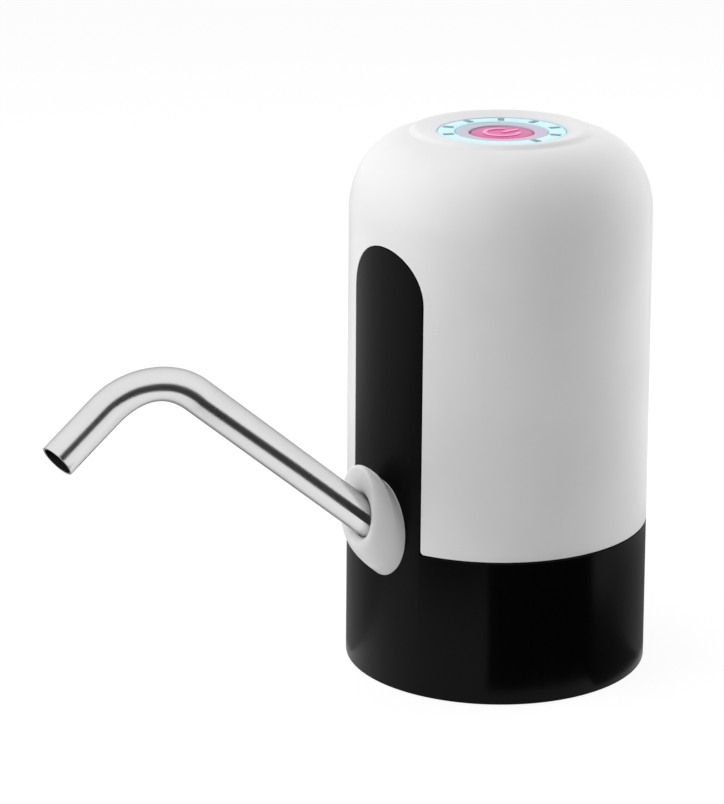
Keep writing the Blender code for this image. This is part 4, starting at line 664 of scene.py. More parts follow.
outward = Vector((0, -cos(COLLAR_TILT), sin(COLLAR_TILT)))
upward = Vector((0, sin(COLLAR_TILT), cos(COLLAR_TILT)))
spout_seat = Vector((0, -body_radius(SPOUT_HEIGHT), SPOUT_HEIGHT))
spout_axis = Vector((0, -sin(SPOUT_TILT), cos(SPOUT_TILT)))
crest = spout_seat + Vector((0, -COLLAR_CREST_REACH, COLLAR_CREST_HEIGHT))
foot = spout_seat + Vector((0, COLLAR_FOOT_SINK, -COLLAR_FOOT_DROP))
root = foot + Vector((0, COLLAR_ROOT - COLLAR_FOOT_SINK, 0))
stations = [(root, *COLLAR_FOOT_HALF, COLLAR_FOOT_TILT)]
for i in range(COLLAR_STEPS + 1):
    turn = pi / 2 * i / COLLAR_STEPS
    out = cos(turn)
    half = [near + (far - near) * out for near, far in zip(COLLAR_CREST_HALF, COLLAR_FOOT_HALF)]
    lean = COLLAR_FOOT_TILT + (COLLAR_TILT - COLLAR_FOOT_TILT) * sin(turn)
    stations.append((foot.lerp(crest, sin(turn)), *half, lean))
for i in range(1, COLLAR_STEPS + 1):
    turn = pi / 2 * i / COLLAR_STEPS
    down = sin(turn)
    centre = crest - upward * MOUTH_DROP * down - outward * MOUTH_DEPTH * (1 - cos(turn))
    half = [near + (end - near) * down for near, end in zip(COLLAR_CREST_HALF, MOUTH_HALF)]
    stations.append((centre, *half, COLLAR_TILT))
collar = lofted("oval_collar", stations, COLLAR_SIDES, True)
profile = [(0, 0), (BODY_RADIUS, 0), (body_radius(BODY_TOP), BODY_TOP), (0, BODY_TOP)]
carve(collar, spun("body", profile, OUTER_STEPS))
carve(collar, spout_rod(MOUTH_RADIUS, -BODY_RADIUS / 2, BODY_RADIUS / 2))
carve(collar, spout_rod(SEAL_ROOM_RADIUS, -BODY_RADIUS / 2, SEAL_ROOM_TOP))
coated(collar, white_plastic, COLLAR_SMOOTH_ANGLE)
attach(collar, "housing")
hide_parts("spout_collar")


# Steel spout
# Thin stainless tube, 8 mm across, cut square, bent cold and polished. It plugs into a rubber
# sleeve inside the collar. A dark ribbon that only mirrors see follows the tube at rest
# and draws the dark stripe along it.

SPOUT_RADIUS = 0.0040
SPOUT_WALL = 0.0005
SPOUT_PLUG = 0.0056
SPOUT_RUN = 0.0664
SPOUT_BEND_RADIUS = 0.0197
SPOUT_BEND = radians(74.66)
SPOUT_SQUEEZE = 0.09
SPOUT_DROP = 0.0149
SPOUT_SIDES = 72
SPOUT_RUN_STEPS = 36
SPOUT_DROP_STEPS = 4
SPOUT_BEND_STEPS = 48
RIM_EDGE = 0.00008
RIM_ANGLE = radians(60)
SPOUT_SMOOTH_ANGLE = 50
STEEL = ((0.735, 0.735, 0.735), 0.27)  # colour, roughness
# Inside of the tube: steel painted near black, which is painted shade in the bore
PAINTED_SHADE_STEEL = ((0.03, 0.03, 0.03), 0.6)
STEEL_EDGE = (0.45, 0.45, 0.45, 1)
STEEL_PALE = 1.04
STEEL_RELIEF = 0.0000012
SMUDGE_SCALE = 70
POLISH_SCALE = 2600
# Edges of the stripe in degrees of what the tube mirrors, evenly along its run, then its bend
STRIPE_SPANS = ((-29, 28), (-24, 29), (-9, 43), (-3, 51), (-2, 54), (-8, 40), (-10, 27))
STRIPE_RUN_SPANS = 2
STRIPE_BRIGHTNESS = 0.03
STRIPE_START = 0.005
STRIPE_END = 0.004
STRIPE_END_STEPS = 4
STRIPE_NEAR = 0.0006
STRIPE_RISE_START = 0.0120
STRIPE_RISE = 0.5
STRIPE_REACH = 0.005

rise = pi / 2 - SPOUT_TILT
stations = []
for i in range(SPOUT_RUN_STEPS):
    along = (SPOUT_PLUG + SPOUT_RUN) * i / SPOUT_RUN_STEPS - SPOUT_PLUG
    stations.append((spout_seat + spout_axis * along, SPOUT_RADIUS, SPOUT_RADIUS, rise))
under = Vector((0, -cos(SPOUT_TILT), -sin(SPOUT_TILT))) * SPOUT_BEND_RADIUS
bend_centre = spout_seat + spout_axis * SPOUT_RUN + under
for i in range(SPOUT_BEND_STEPS + 1):
    share = i / SPOUT_BEND_STEPS
    turn = SPOUT_BEND * share
    centre = bend_centre + Matrix.Rotation(turn, 3, "X") @ -under
    flat = SPOUT_RADIUS * (1 - SPOUT_SQUEEZE * sin(pi * share) ** 2)
    stations.append((centre, SPOUT_RADIUS, flat, rise - turn))
tip_way = Matrix.Rotation(SPOUT_BEND, 3, "X") @ spout_axis
for i in range(1, SPOUT_DROP_STEPS + 1):
    centre = stations[-1][0] + tip_way * SPOUT_DROP / SPOUT_DROP_STEPS
    stations.append((centre, SPOUT_RADIUS, SPOUT_RADIUS, rise - SPOUT_BEND))
spout = lofted("steel_spout", stations, SPOUT_SIDES, False)
wall = spout.modifiers.new("wall", "SOLIDIFY")
wall.thickness = SPOUT_WALL
wall.offset = -1
wall.material_offset = 1
edge = spout.modifiers.new("edge", "BEVEL")
edge.width = RIM_EDGE
edge.segments = 2
edge.angle_limit = RIM_ANGLE


def steel(name, color, roughness):
    """Polished stainless steel: faint smudges in its gloss and a very fine polishing grain."""
    constants = [("Metallic", 1), ("Specular Tint", STEEL_EDGE)]
    material, shader, place = finish(name, color, roughness, constants)
    smudge = place.noise(SMUDGE_SCALE, 4)
    marks = place.noise(POLISH_SCALE, 2)
    (roughness - 0.03 + 0.06 * smudge + 0.02 * marks).feed(shader, "Roughness")
    pale = [min(1, part * STEEL_PALE) for part in color]
    smudge.between(*MIDDLE).tint(shader, color, pale)
    marks.bump(STEEL_RELIEF, shader)
    return material


spout.data.materials.append(steel("polished_steel", *STEEL))
# The tube's inner wall gets the near-black steel: painted shade
spout.data.materials.append(steel("steel_bore_painted_shade", *PAINTED_SHADE_STEEL))
alone(spout)
bpy.ops.object.modifier_apply(modifier="wall")
bpy.ops.object.modifier_apply(modifier="edge")
smoothed(spout, SPOUT_SMOOTH_ANGLE)
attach(spout, "spout")
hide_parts("spout_tube")

path = [(centre, tilt) for centre, width, height, tilt in stations]
path = [step for step in path if (step[0] - spout_seat).length > STRIPE_START]
tip, tilt = path[-1]
for i in range(1, STRIPE_END_STEPS + 1):
    path.append((tip + tip_way * STRIPE_END * i / STRIPE_END_STEPS, tilt))
sides = ([], [])
for centre, tilt in path:
    distance = (centre - spout_seat).length
    straight = min(distance / SPOUT_RUN, 1)
    bent = min(max((rise - tilt) / SPOUT_BEND, 0), 1)
    place = STRIPE_RUN_SPANS * straight + (len(STRIPE_SPANS) - 1 - STRIPE_RUN_SPANS) * bent
    span = int(min(place, len(STRIPE_SPANS) - 2))
    ends = zip(STRIPE_SPANS[span], STRIPE_SPANS[span + 1])
    turns = [begin + (end - begin) * (place - span) for begin, end in ends]
    along = Vector((0, -cos(tilt), sin(tilt)))
    view = (camera.location - centre).normalized()
    across = view - along * view.dot(along)
    near = STRIPE_NEAR + STRIPE_RISE * max(0, distance - STRIPE_RISE_START)
    for side, turn in zip(sides, turns):
        mirrored = Matrix.Rotation(-radians(turn), 3, along) @ across
        way = mirrored - along * view.dot(along)
        facing = Matrix.Rotation(-radians(turn) / 2, 3, along) @ across.normalized()
        skin = centre + facing * SPOUT_RADIUS
        above_table = (skin.z - 2 * CARD_HEIGHT) / max(-way.z, WELD)
        side.append(skin + way * min(near, STRIPE_REACH, above_table))
stripe_card = drawn("stripe_card", sides[0])
bpy.ops.object.mode_set(mode="OBJECT")
high_edge = drawn("high_edge", sides[1])
bpy.ops.object.mode_set(mode="OBJECT")
alone(stripe_card, high_edge)
bpy.ops.object.join()
bpy.ops.object.mode_set(mode="EDIT")
bpy.ops.mesh.bridge_edge_loops()
bpy.ops.object.mode_set(mode="OBJECT")
for_mirrors(stripe_card, STRIPE_BRIGHTNESS)


# Lit ring
# A ring of frosted clear plastic in the hole of the dish, lit from below by five small lamps.
# Short raised marks stand round it on eight of ten places.

RING_INNER = 0.0110
RING_OUTER = 0.01475
RING_FLANGE_INNER = 0.0076
RING_FLANGE_OUTER = 0.01665
RING_TOP = DISH_HEIGHT - 0.0001
RING_FLANGE_TOP = DISH_HEIGHT - SHELL_WALL - GAP
RING_FLANGE_FOOT = RING_FLANGE_TOP - 0.0012
RING_EDGE = 0.00025
RING_STEPS = 128
MARK_PLACES = 10
MARK_COUNT = 8
MARK_TURN = radians(-4.5)
MARK_RADIUS = 0.012875
MARK_LENGTH = 0.0025
MARK_WIDTH = 0.0015
MARK_RELIEF = 0.00008
RING_COLOR = (0.46, 0.64, 0.65)
RING_PALE = (0.5, 0.69, 0.7)
RING_ROUGHNESS = 0.4
RING_CLOUD_SCALE = 900
RING_LIGHT = (0.45, 0.8, 0.86)
RING_LIGHT_PALE = (0.52, 0.86, 0.92)
RING_GLOW = 0.33
MARK_COLOR = (0.045, 0.21, 0.23)
MARK_PALE = (0.1, 0.34, 0.36)
MARK_ROUGHNESS = 0.35
MARK_CLOUD_SCALE = 1500
FINE_RELIEF = 0.00001
COARSE_RELIEF = 0.00002

glow = [("Emission Strength", RING_GLOW)]
material, shader, place = finish("frosted_clear_plastic", RING_COLOR, RING_ROUGHNESS, glow)
cloud = place.noise(RING_CLOUD_SCALE, 2)
cloud.tint(shader, RING_COLOR, RING_PALE)
cloud.mix(RING_LIGHT, RING_LIGHT_PALE).feed(shader, "Emission Color")
cloud.bump(FINE_RELIEF, shader)
outline = [(RING_OUTER, RING_FLANGE_TOP)]
outline += arc((RING_OUTER - RING_EDGE, RING_TOP - RING_EDGE), RING_EDGE, 0, 90)
outline += arc((RING_INNER + RING_EDGE, RING_TOP - RING_EDGE), RING_EDGE, 90, 180)
outline += [(RING_INNER, RING_FLANGE_TOP), (RING_FLANGE_INNER, RING_FLANGE_TOP)]
outline += [(RING_FLANGE_INNER, RING_FLANGE_FOOT), (RING_FLANGE_OUTER, RING_FLANGE_FOOT)]
outline.append((RING_FLANGE_OUTER, RING_FLANGE_TOP))
lit_ring = spun("lit_ring", outline, RING_STEPS)
coated(lit_ring, material)
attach(lit_ring, "housing")
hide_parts("light_ring")


def bar(name, size, centre, turn, edge, segments):
    """A block with its edges rounded, turned about Z."""
    alone()
    bpy.ops.mesh.primitive_cube_add(size=1)
    obj = bpy.context.object
    obj.name = name
    obj.scale = size
    obj.location = centre
    obj.rotation_euler = (0, 0, turn)
    bpy.ops.object.transform_apply()
    bevel = obj.modifiers.new("edge", "BEVEL")
    bevel.width = edge
    bevel.segments = segments
    bpy.ops.object.modifier_apply(modifier="edge")
    return obj


marks = []
for number in range(MARK_COUNT):
    turn = MARK_TURN + tau * number / MARK_PLACES
    centre = (MARK_RADIUS * cos(turn), MARK_RADIUS * sin(turn), RING_TOP)
    size = (MARK_LENGTH, MARK_WIDTH, 2 * MARK_RELIEF)
    marks.append(bar("mark", size, centre, turn, MARK_RELIEF / 2, 3))
alone(*marks)
bpy.ops.object.join()
ring_marks = bpy.context.object
ring_marks.name = "ring_marks"
material, shader, place = finish("teal_marks", MARK_COLOR, MARK_ROUGHNESS)
place.noise(MARK_CLOUD_SCALE, 2).tint(shader, MARK_COLOR, MARK_PALE)
coated(ring_marks, material, COLLAR_SMOOTH_ANGLE)
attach(ring_marks, "housing")


# Button ring
# A narrow ring of mauve plastic between the lit ring and the button,
# a little lower than the lit ring.

BEZEL_INNER = 0.0076
BEZEL_OUTER = 0.0107
BEZEL_TOP = DISH_HEIGHT - 0.0003
BEZEL_FOOT = BEZEL_TOP - 0.0017
BEZEL_EDGE = 0.0003
MAUVE = ((0.58, 0.54, 0.67), 0.35, SOFT_RELIEF)

outline = [(BEZEL_INNER, BEZEL_FOOT), (BEZEL_OUTER, BEZEL_FOOT)]
outline += arc((BEZEL_OUTER - BEZEL_EDGE, BEZEL_TOP - BEZEL_EDGE), BEZEL_EDGE, 0, 90)
outline += arc((BEZEL_INNER + BEZEL_EDGE, BEZEL_TOP - BEZEL_EDGE), BEZEL_EDGE, 90, 180)
button_ring = spun("button_ring", outline, RING_STEPS)
coated(button_ring, moulded("mauve_plastic", *MAUVE)[0])
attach(button_ring, "housing")
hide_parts("ring_bezel")


# Power button
# A round cap of pink translucent plastic with a collar under the dish, a stem on the switch
# and the usual power sign raised on its top.

BUTTON_RADIUS = 0.0073
BUTTON_TOP = DISH_HEIGHT - 0.0005
BUTTON_WALL = 0.0012
BUTTON_FLANGE_RADIUS = 0.0085
BUTTON_FLANGE_HEIGHT = 0.0011
BUTTON_FOOT = RING_FLANGE_FOOT - GAP - BUTTON_FLANGE_HEIGHT
BUTTON_EDGE = 0.0005
BUTTON_STEM_RADIUS = 0.0016
SIGN_RADIUS = 0.0044
SIGN_STROKE = 0.0009
SIGN_RELIEF = 0.0002
SIGN_SINK = 0.0003
SIGN_GAP = 38
SIGN_BAR = 0.0042
SIGN_STEPS = 48
PINK = (0.52, 0.055, 0.235)
PINK_EDGE = (0.42, 0.04, 0.18)
PINK_EDGE_START = 0.0058
PINK_SIGN = (0.8, 0.28, 0.48)
PINK_ROUGHNESS = 0.35
# The cap glows a little though no lamp lights it: a painted glow
PAINTED_PINK_GLOW = 0.3

stem_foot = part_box("switch_plunger")[1].z + GAP
ceiling = BUTTON_TOP - BUTTON_WALL
ledge = BUTTON_FOOT + BUTTON_FLANGE_HEIGHT
outline = [(0, stem_foot), (BUTTON_STEM_RADIUS, stem_foot), (BUTTON_STEM_RADIUS, ceiling)]
outline += [(BUTTON_RADIUS - BUTTON_WALL, ceiling), (BUTTON_RADIUS - BUTTON_WALL, BUTTON_FOOT)]
outline += [(BUTTON_FLANGE_RADIUS, BUTTON_FOOT), (BUTTON_FLANGE_RADIUS, ledge)]
outline.append((BUTTON_RADIUS, ledge))
outline += arc((BUTTON_RADIUS - BUTTON_EDGE, BUTTON_TOP - BUTTON_EDGE), BUTTON_EDGE, 0, 90)
outline.append((0, BUTTON_TOP))
button = spun("power_button", outline, RING_STEPS)
start = 90 + SIGN_GAP
end = 450 - SIGN_GAP
sign = arc((0, 0), SIGN_RADIUS, start, end, SIGN_STEPS)
sign += arc((0, 0), SIGN_RADIUS - SIGN_STROKE, end, start, SIGN_STEPS)
low = BUTTON_TOP - SIGN_SINK
lift = (0, 0, SIGN_SINK + SIGN_RELIEF)
carve(button, slab("sign_ring", [(x, y, low) for x, y in sign], lift), "UNION")
half = SIGN_STROKE / 2
foot = SIGN_RADIUS - SIGN_BAR
tip = SIGN_RADIUS + half
stroke = [(-half, foot, low), (half, foot, low), (half, tip, low), (-half, tip, low)]
carve(button, slab("sign_bar", stroke, lift), "UNION")
# Painted glow on the pink cap, which no lamp lights
glow = [("Emission Strength", PAINTED_PINK_GLOW)]
material, shader, place = finish("pink_plastic", PINK, PINK_ROUGHNESS, glow)
height = place.add("SeparateXYZ", {0: place}, 2)
plain = from_axis(place).between(PINK_EDGE_START, BUTTON_RADIUS).mix(PINK, PINK_EDGE)
raised = height.between(BUTTON_TOP + SIGN_RELIEF / 4, BUTTON_TOP + SIGN_RELIEF / 2)
color = raised.mix(plain, PINK_SIGN)
color.feed(shader, "Base Color")
color.feed(shader, "Emission Color")
place.noise(MOULD_SCALE, 2).bump(SOFT_RELIEF, shader)
coated(button, material)
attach(button, "button")
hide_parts("button_cap")


# Floor over the bottle's neck
# A disc of black ABS with a skirt round the rubber liner. Three screws in sunk wells hold it up
# against the flange of the base.

DECK_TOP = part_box("bottom_deck")[1].z
DECK_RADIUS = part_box("bottom_deck")[1].x
DECK_THICKNESS = 0.0027
DECK_FOOT = DECK_TOP - DECK_THICKNESS
DECK_HOLE_RADIUS = 0.0048
DECK_EDGE = 0.0004
SKIRT_OUTER = 0.0318
SKIRT_INNER = 0.0302
SKIRT_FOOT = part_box("bottom_deck")[0].z
WELL_RADIUS = 0.0023
WELL_DEPTH = 0.0016
SCREW_HOLE_RADIUS = 0.0013

outline = [(DECK_HOLE_RADIUS, DECK_TOP)]
outline += arc((DECK_RADIUS - DECK_EDGE, DECK_TOP - DECK_EDGE), DECK_EDGE, 90, 0)
outline += arc((DECK_RADIUS - DECK_EDGE, DECK_FOOT + DECK_EDGE), DECK_EDGE, 0, -90)
outline += [(SKIRT_OUTER, DECK_FOOT)]
outline += arc((SKIRT_OUTER - DECK_EDGE, SKIRT_FOOT + DECK_EDGE), DECK_EDGE, 0, -90)
outline += arc((SKIRT_INNER + DECK_EDGE, SKIRT_FOOT + DECK_EDGE), DECK_EDGE, -90, -180)
outline += [(SKIRT_INNER, DECK_FOOT), (DECK_HOLE_RADIUS, DECK_FOOT)]
neck_floor = spun("neck_floor", outline, RING_STEPS)
for number in (1, 2, 3):
    low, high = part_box(f"deck_screw_{number}")
    x, y = (low.x + high.x) / 2, (low.y + high.y) / 2
    carve(neck_floor, rod(WELL_RADIUS, DECK_FOOT - OVERRUN, DECK_FOOT + WELL_DEPTH, x, y))
    carve(neck_floor, rod(SCREW_HOLE_RADIUS, DECK_FOOT, DECK_TOP + OVERRUN, x, y))
coated(neck_floor, black_plastic)
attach(neck_floor, "housing")
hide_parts("bottom_deck")


# Neck liner and neck seal
# Soft grey silicone. The liner lies in the skirt and grips the bottle's neck with three round
# lips, and the flat seal under the floor closes on the neck's rim with two beads.

LINER_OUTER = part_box("neck_grip")[1].x
LINER_FOOT, LINER_TOP = [corner.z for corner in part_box("neck_grip")]
LINER_THICKNESS = 0.0016
LINER_INNER = LINER_OUTER - LINER_THICKNESS
LINER_LIPS = 3
LIP_RISE = 0.0005
LIP_ROUND = 0.00025
LIP_ARC = (125, 235)
NECK_SEAL_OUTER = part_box("neck_gasket")[1].x
NECK_SEAL_WIDTH = 0.0060
NECK_SEAL_INNER = NECK_SEAL_OUTER - NECK_SEAL_WIDTH
NECK_SEAL_FOOT, NECK_SEAL_TOP = [corner.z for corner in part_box("neck_gasket")]
NECK_SEAL_BEADS = (0.0259, 0.0231)
BEAD_RADIUS = 0.0003
GREY_RUBBER = ((0.34, 0.35, 0.36), 0.55)
MOTTLE_SCALE = 120
MOTTLE_DARK = 0.9
PEEL_SCALE = 1400


def rubber(name, color, roughness):
    """Silicone: a faintly mottled colour, a dull skin and a soft orange-peel surface."""
    material, shader, place = finish(name, color, roughness)
    mottle = place.noise(MOTTLE_SCALE, 4)
    peel = place.noise(PEEL_SCALE, 2)
    dark = [part * MOTTLE_DARK for part in color]
    mottle.between(0.25, 0.75).tint(shader, dark, color)
    (roughness - 0.05 + 0.1 * mottle).feed(shader, "Roughness")
    peel.bump(COARSE_RELIEF, shader)
    return material


grey_rubber = rubber("grey_silicone", *GREY_RUBBER)
outline = [(LINER_OUTER, LINER_FOOT), (LINER_OUTER, LINER_TOP), (LINER_INNER, LINER_TOP)]
spacing = (LINER_TOP - LINER_FOOT) / LINER_LIPS
for number in range(LINER_LIPS):
    high = LINER_TOP - spacing * number
    outline.append((LINER_INNER, high - spacing / 2))
    tip = (LINER_INNER - LIP_RISE + LIP_ROUND, high - spacing * 3 / 4)
    outline += arc(tip, LIP_ROUND, *LIP_ARC)
    if number < LINER_LIPS - 1:
        outline.append((LINER_INNER, high - spacing))
outline.append((LINER_INNER, LINER_FOOT))
neck_liner = spun("neck_liner", outline, RING_STEPS)
coated(neck_liner, grey_rubber)
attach(neck_liner, "housing")
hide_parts("neck_grip")

face = NECK_SEAL_FOOT + BEAD_RADIUS
outline = [(NECK_SEAL_INNER, face), (NECK_SEAL_INNER, NECK_SEAL_TOP)]
outline += [(NECK_SEAL_OUTER, NECK_SEAL_TOP), (NECK_SEAL_OUTER, face)]
for radius in NECK_SEAL_BEADS:
    outline += arc((radius, face), BEAD_RADIUS, 0, -180, EDGE_STEPS * 2)
neck_seal = spun("neck_seal", outline, RING_STEPS)
coated(neck_seal, grey_rubber)
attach(neck_seal, "housing")
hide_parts("neck_gasket")


# Inlet barb
# A turned nipple of natural acetal through the floor, with a flange level with the neck's seal.
# A dip hose pushes on to its three barbs, and a nut and the pump's hose hold its other end.

BARB_FOOT, BARB_TOP = [corner.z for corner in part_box("inlet_nozzle")]
BARB_FLANGE_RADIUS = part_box("inlet_nozzle")[1].x
BARB_BORE = 0.0015
BARB_CORE = 0.0036
BARB_TOOTH = 0.0009
BARB_COUNT = 3
BARB_LAND = 0.0003
BARB_SHANK_RADIUS = 0.0045
BARB_SHANK_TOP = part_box("inlet_hose")[0].z - GAP
BARB_SPIGOT_RADIUS = 0.0023
SMALL_STEPS = 96
ACETAL = ((0.74, 0.72, 0.64), 0.36, 0.000005)

spacing = (NECK_SEAL_FOOT - BARB_FOOT) / BARB_COUNT
outline = [(BARB_BORE + DECK_EDGE / 2, BARB_FOOT), (BARB_CORE - DECK_EDGE, BARB_FOOT)]
for number in range(BARB_COUNT):
    low = BARB_FOOT + spacing * number
    tooth_top = low + spacing * 3 / 4
    if number:
        outline.append((BARB_CORE, low))
    outline.append((BARB_CORE + BARB_TOOTH, tooth_top - BARB_LAND))
    outline += [(BARB_CORE + BARB_TOOTH, tooth_top), (BARB_CORE, tooth_top + BARB_LAND)]
outline.append((BARB_CORE, NECK_SEAL_FOOT))
edge = BARB_FLANGE_RADIUS - DECK_EDGE
outline += arc((edge, NECK_SEAL_FOOT + DECK_EDGE), DECK_EDGE, -90, 0)
outline += arc((edge, NECK_SEAL_TOP - DECK_EDGE), DECK_EDGE, 0, 90)
outline += [(BARB_SHANK_RADIUS, NECK_SEAL_TOP), (BARB_SHANK_RADIUS, BARB_SHANK_TOP)]
outline += [(BARB_SPIGOT_RADIUS, BARB_SHANK_TOP), (BARB_SPIGOT_RADIUS, BARB_TOP)]
outline += [(BARB_BORE, BARB_TOP), (BARB_BORE, BARB_FOOT + DECK_EDGE / 2)]
inlet_barb = spun("inlet_barb", outline, SMALL_STEPS)
acetal = moulded("natural_acetal", *ACETAL)[0]
coated(inlet_barb, acetal)
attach(inlet_barb, "housing")
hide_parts("inlet_nozzle")


# Spout sleeve
# A short silicone sleeve pressed into the collar. Two soft lips inside it grip the steel tube,
# and it turns with the tube.

SLEEVE_LOW = -0.0059
SLEEVE_HIGH = 0.0002
SLEEVE_INNER = 0.0043
SLEEVE_OUTER = 0.0049
SLEEVE_LIPS = (-0.0046, -0.0028)
SLEEVE_LIP = 0.00025

outline = [(SLEEVE_OUTER, SLEEVE_LOW), (SLEEVE_OUTER, SLEEVE_HIGH), (SLEEVE_INNER, SLEEVE_HIGH)]
for place in reversed(SLEEVE_LIPS):
    outline += arc((SLEEVE_INNER, place), SLEEVE_LIP, 90, 270, EDGE_STEPS * 2)
outline.append((SLEEVE_INNER, SLEEVE_LOW))
sleeve = on_spout_axis(spun("spout_sleeve", outline, SMALL_STEPS))
coated(sleeve, grey_rubber)
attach(sleeve, "seal")
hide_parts("spout_seal")


# Charge socket
# A drawn and plated steel can behind the port at the back,
# with a thin black tongue inside.

SOCKET_LOW, SOCKET_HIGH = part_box("charge_socket")
SOCKET_SHEET = 0.0004
SOCKET_FLOOR = 0.0012
TONGUE_HALF_WIDTH = 0.0024
TONGUE_HALF_HEIGHT = 0.0003
TONGUE_EDGE = 0.00008
NICKEL = ((0.66, 0.64, 0.59), 0.3, 900, (1, 1, 0.15))  # ..., scale and stretch of its grain
METAL_TONE_SCALE = 90
METAL_DARK = 0.88


def lozenge(half_width, half_height, y):
    """Outline of a flat hole with round ends, across the Y axis at the port's height."""
    reach = half_width - half_height
    points = arc((reach, PORT_HEIGHT), half_height, -90, 90, EDGE_STEPS * 4)
    points += arc((-reach, PORT_HEIGHT), half_height, 90, 270, EDGE_STEPS * 4)
    return [(x, y, z) for x, z in points]


def metal(name, color, roughness, scale, stretch=(1, 1, 1)):
    """Bare or plated metal: a grain, drawn out one way or not, and a drift in tone and gloss."""
    material, shader, place = finish(name, color, roughness, [("Metallic", 1)])
    grain = place.stretched(stretch).noise(scale, 3)
    drift = place.noise(METAL_TONE_SCALE, 3)
    dark = [part * METAL_DARK for part in color]
    drift.between(*MIDDLE).tint(shader, dark, color)
    (roughness - 0.06 + 0.08 * grain + 0.06 * drift).feed(shader, "Roughness")
    grain.bump(SOFT_RELIEF, shader)
    return material


plated_steel = metal("nickel_plate", *NICKEL)
half_width, half_height = SOCKET_HIGH.x, SOCKET_HIGH.z - PORT_HEIGHT
length = SOCKET_HIGH.y - SOCKET_LOW.y
socket = slab("charge_can", lozenge(half_width, half_height, SOCKET_LOW.y), (0, length, 0))
room = lozenge(half_width - SOCKET_SHEET, half_height - SOCKET_SHEET, SOCKET_LOW.y + SOCKET_FLOOR)
carve(socket, slab("room", room, (0, length, 0)))
coated(socket, plated_steel)
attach(socket, "housing")
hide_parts("charge_socket")

size = (2 * TONGUE_HALF_WIDTH, length - 2 * SOCKET_FLOOR, 2 * TONGUE_HALF_HEIGHT)
centre = (0, (SOCKET_LOW.y + SOCKET_HIGH.y) / 2, PORT_HEIGHT)
tongue = bar("socket_tongue", size, centre, 0, TONGUE_EDGE, 2)
coated(tongue, black_plastic)
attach(tongue, "housing")


# Frame, hose fittings and pump
# The frame, the pump's body and cover, the nut and the outlet block are grey glass-filled plastic.
# The two gears are cut from acetal, and the hoses and gasket are soft clear silicone.

FILLED = ((0.2, 0.21, 0.22), 0.5, FINE_RELIEF)
FLECK = (0.3, 0.31, 0.32)
FLECK_SCALE = 900
CLEAR_RUBBER = ((0.62, 0.64, 0.62), 0.4)


def dressed(material, *names):
    """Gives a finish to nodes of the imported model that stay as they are."""
    for name in names:
        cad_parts[name].material_slots[0].material = material


filled_plastic, shader, place = moulded("grey_filled_plastic", *FILLED)
flecks = place.add("TexVoronoi", {"Vector": place, "Scale": FLECK_SCALE})
plain = Wire(shader.inputs["Base Color"].links[0].from_socket)
flecks.between(0.12, 0.2).tint(shader, FLECK, plain)
dressed(filled_plastic, "inner_chassis", "pump_body", "pump_cover", "nozzle_nut", "outlet_block")
dressed(acetal, "drive_gear", "driven_gear")
dressed(rubber("clear_silicone", *CLEAR_RUBBER), "inlet_hose", "outlet_hose", "pump_gasket")


# Motor
# A plated steel can with a white end cap, held by a strap of spring steel. Two arcs of pressed
# ferrite line it, the rotor is a stack of iron sheets, and a graphite ring seals its shaft.

IRON = (0.3, 0.29, 0.28)
IRON_DARK = (0.1, 0.09, 0.085)
IRON_ROUGHNESS = 0.45
SHEET_SCALE = 500
SHEET_WAVER = 0.4
SHEET_RELIEF = 0.00003
FERRITE = (0.035, 0.035, 0.038)
FERRITE_SPECK = (0.11, 0.11, 0.115)
FERRITE_ROUGHNESS = 0.6
FERRITE_SCALE = 2200

dressed(plated_steel, "motor_can", "motor_strap")
dressed(white_plastic, "motor_end_cap")
sheets, shader, place = finish("stacked_iron", IRON, IRON_ROUGHNESS, [("Metallic", 1)])
layers = {"Vector": place, "Scale": SHEET_SCALE, "Distortion": SHEET_WAVER}
bands = place.add("TexWave", layers, bands_direction="Z")
bands.between(*MIDDLE).tint(shader, IRON_DARK, IRON)
bands.bump(SHEET_RELIEF, shader)
dressed(sheets, "motor_rotor")
ferrite, shader, place = finish("pressed_ferrite", FERRITE, FERRITE_ROUGHNESS)
specks = place.noise(FERRITE_SCALE, 4)
specks.between(0.55, 0.75).tint(shader, FERRITE, FERRITE_SPECK)
specks.bump(COARSE_RELIEF, shader)
dressed(ferrite, "motor_magnet_left", "motor_magnet_right", "shaft_seal")


# Shafts and screws
# Ground steel pins, and small slotted screws of zinc-plated steel that were turned from rod.

GROUND_STEEL = ((0.6, 0.6, 0.6), 0.25, 1500, (1, 1, 0.2))
ZINC = ((0.6, 0.61, 0.63), 0.35, 1800)

dressed(metal("ground_steel", *GROUND_STEEL), "motor_shaft", "idler_axle")
zinc_plate = metal("zinc_plate", *ZINC)
for group in ("deck_screw", "board_screw", "pump_screw"):
    dressed(zinc_plate, *[f"{group}_{number}" for number in (1, 2, 3)])


# Battery
# A round lithium cell in a shrunk blue sleeve,
# with a strip of nickel welded on each end.

WRAP = (0.02, 0.1, 0.42)
WRAP_DARK = 0.85
WRAP_ROUGHNESS = 0.28
WRAP_SCALE = 420
WRAP_STRETCH = (1, 1, 0.12)
WRAP_RELIEF = 0.00004

wrap, shader, place = finish("blue_shrink_sleeve", WRAP, WRAP_ROUGHNESS)
wrinkle = place.stretched(WRAP_STRETCH).noise(WRAP_SCALE, 3)
dark = [part * WRAP_DARK for part in WRAP]
wrinkle.between(*MIDDLE).tint(shader, dark, WRAP)
(0.22 + 0.14 * wrinkle).feed(shader, "Roughness")
wrinkle.bump(WRAP_RELIEF, shader)
dressed(wrap, "battery_cell")
dressed(plated_steel, "battery_tab_top", "battery_tab_bottom")


# Boards and their parts
# Glass-fibre boards under green lacquer, with a black chip, a push switch and five small lamps
# with yellow lenses. A white tray round the lamps sends their light up into the clear ring.

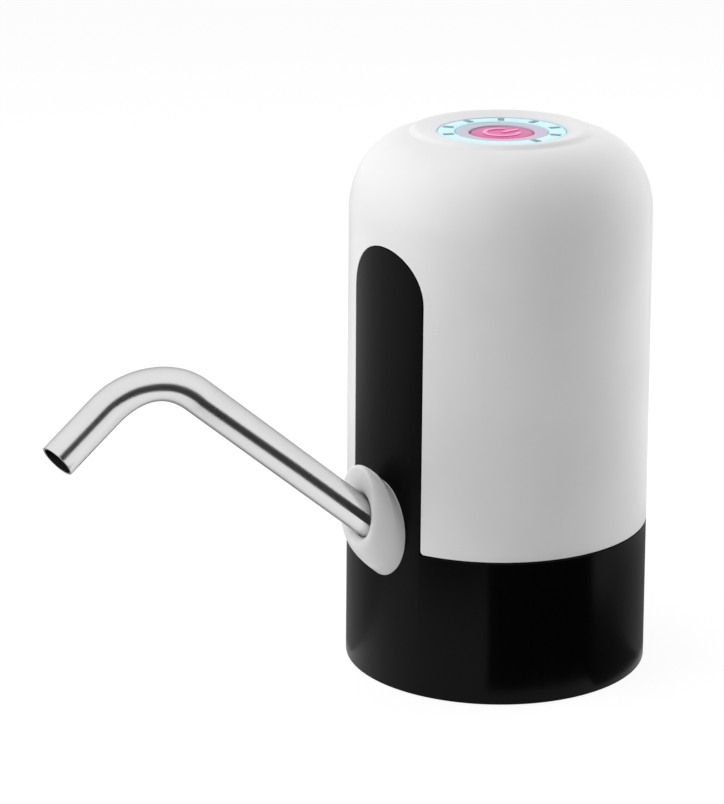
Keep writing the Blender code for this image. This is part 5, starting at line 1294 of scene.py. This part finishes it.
LACQUER = (0.01, 0.14, 0.045)
LACQUER_ROUGHNESS = 0.32
TRACK = (0.03, 0.26, 0.09)
TRACK_SCALE = 260
TRACK_WIDTH = 0.06
TRACK_LENGTH = 0.9
TRACK_SPACING = 0.3
WEAVE_SCALE = 1600
CHIP = ((0.012, 0.012, 0.013), 0.5, FINE_RELIEF)
LENS = (0.85, 0.72, 0.2)
LENS_DARK = 0.8
LENS_ROUGHNESS = 0.3
LENS_SCALE = 2500
LENS_LIGHTS = ((0.5, 0.8, 0.9), (0.6, 0.9, 1.0))
LENS_GLOW = 0.8

board, shader, place = finish("green_lacquer", LACQUER, LACQUER_ROUGHNESS)
layout = {"Vector": place, "Scale": TRACK_SCALE, "Mortar Size": TRACK_WIDTH}
layout |= {"Brick Width": TRACK_LENGTH, "Row Height": TRACK_SPACING}
tracks = place.add("TexBrick", layout, 1)
tracks.tint(shader, LACQUER, TRACK)
(0.28 + 0.08 * place.noise(WEAVE_SCALE, 2)).feed(shader, "Roughness")
tracks.bump(COARSE_RELIEF, shader)
dressed(board, "control_board", "charge_board")
dressed(moulded("black_epoxy", *CHIP)[0], "control_chip", "tact_switch")
dressed(white_plastic, "light_tray", "switch_plunger")
glow = [("Emission Strength", LENS_GLOW)]
lens, shader, place = finish("yellow_lens", LENS, LENS_ROUGHNESS, glow)
powder = place.noise(LENS_SCALE, 3)
powder.tint(shader, [part * LENS_DARK for part in LENS], LENS)
powder.mix(*LENS_LIGHTS).feed(shader, "Emission Color")
dressed(lens, *[f"led_{number}" for number in range(1, 6)])


# Leads
# Stranded wires in red and black PVC
# between the battery, the boards and the motor.

RED_PVC = ((0.42, 0.012, 0.01), 0.38)
BLACK_PVC = ((0.012, 0.012, 0.013), 0.38)

dressed(rubber("red_wire_skin", *RED_PVC), "battery_lead_red", "motor_lead_red", "charge_lead")
dressed(rubber("black_wire_skin", *BLACK_PVC), "battery_lead_black", "motor_lead_black")


# Table of boxes: corners of the imported model and of the scene. Table of boxes for the
# size test
ends = [list(corner) for corner in (*cad_box, *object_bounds())]
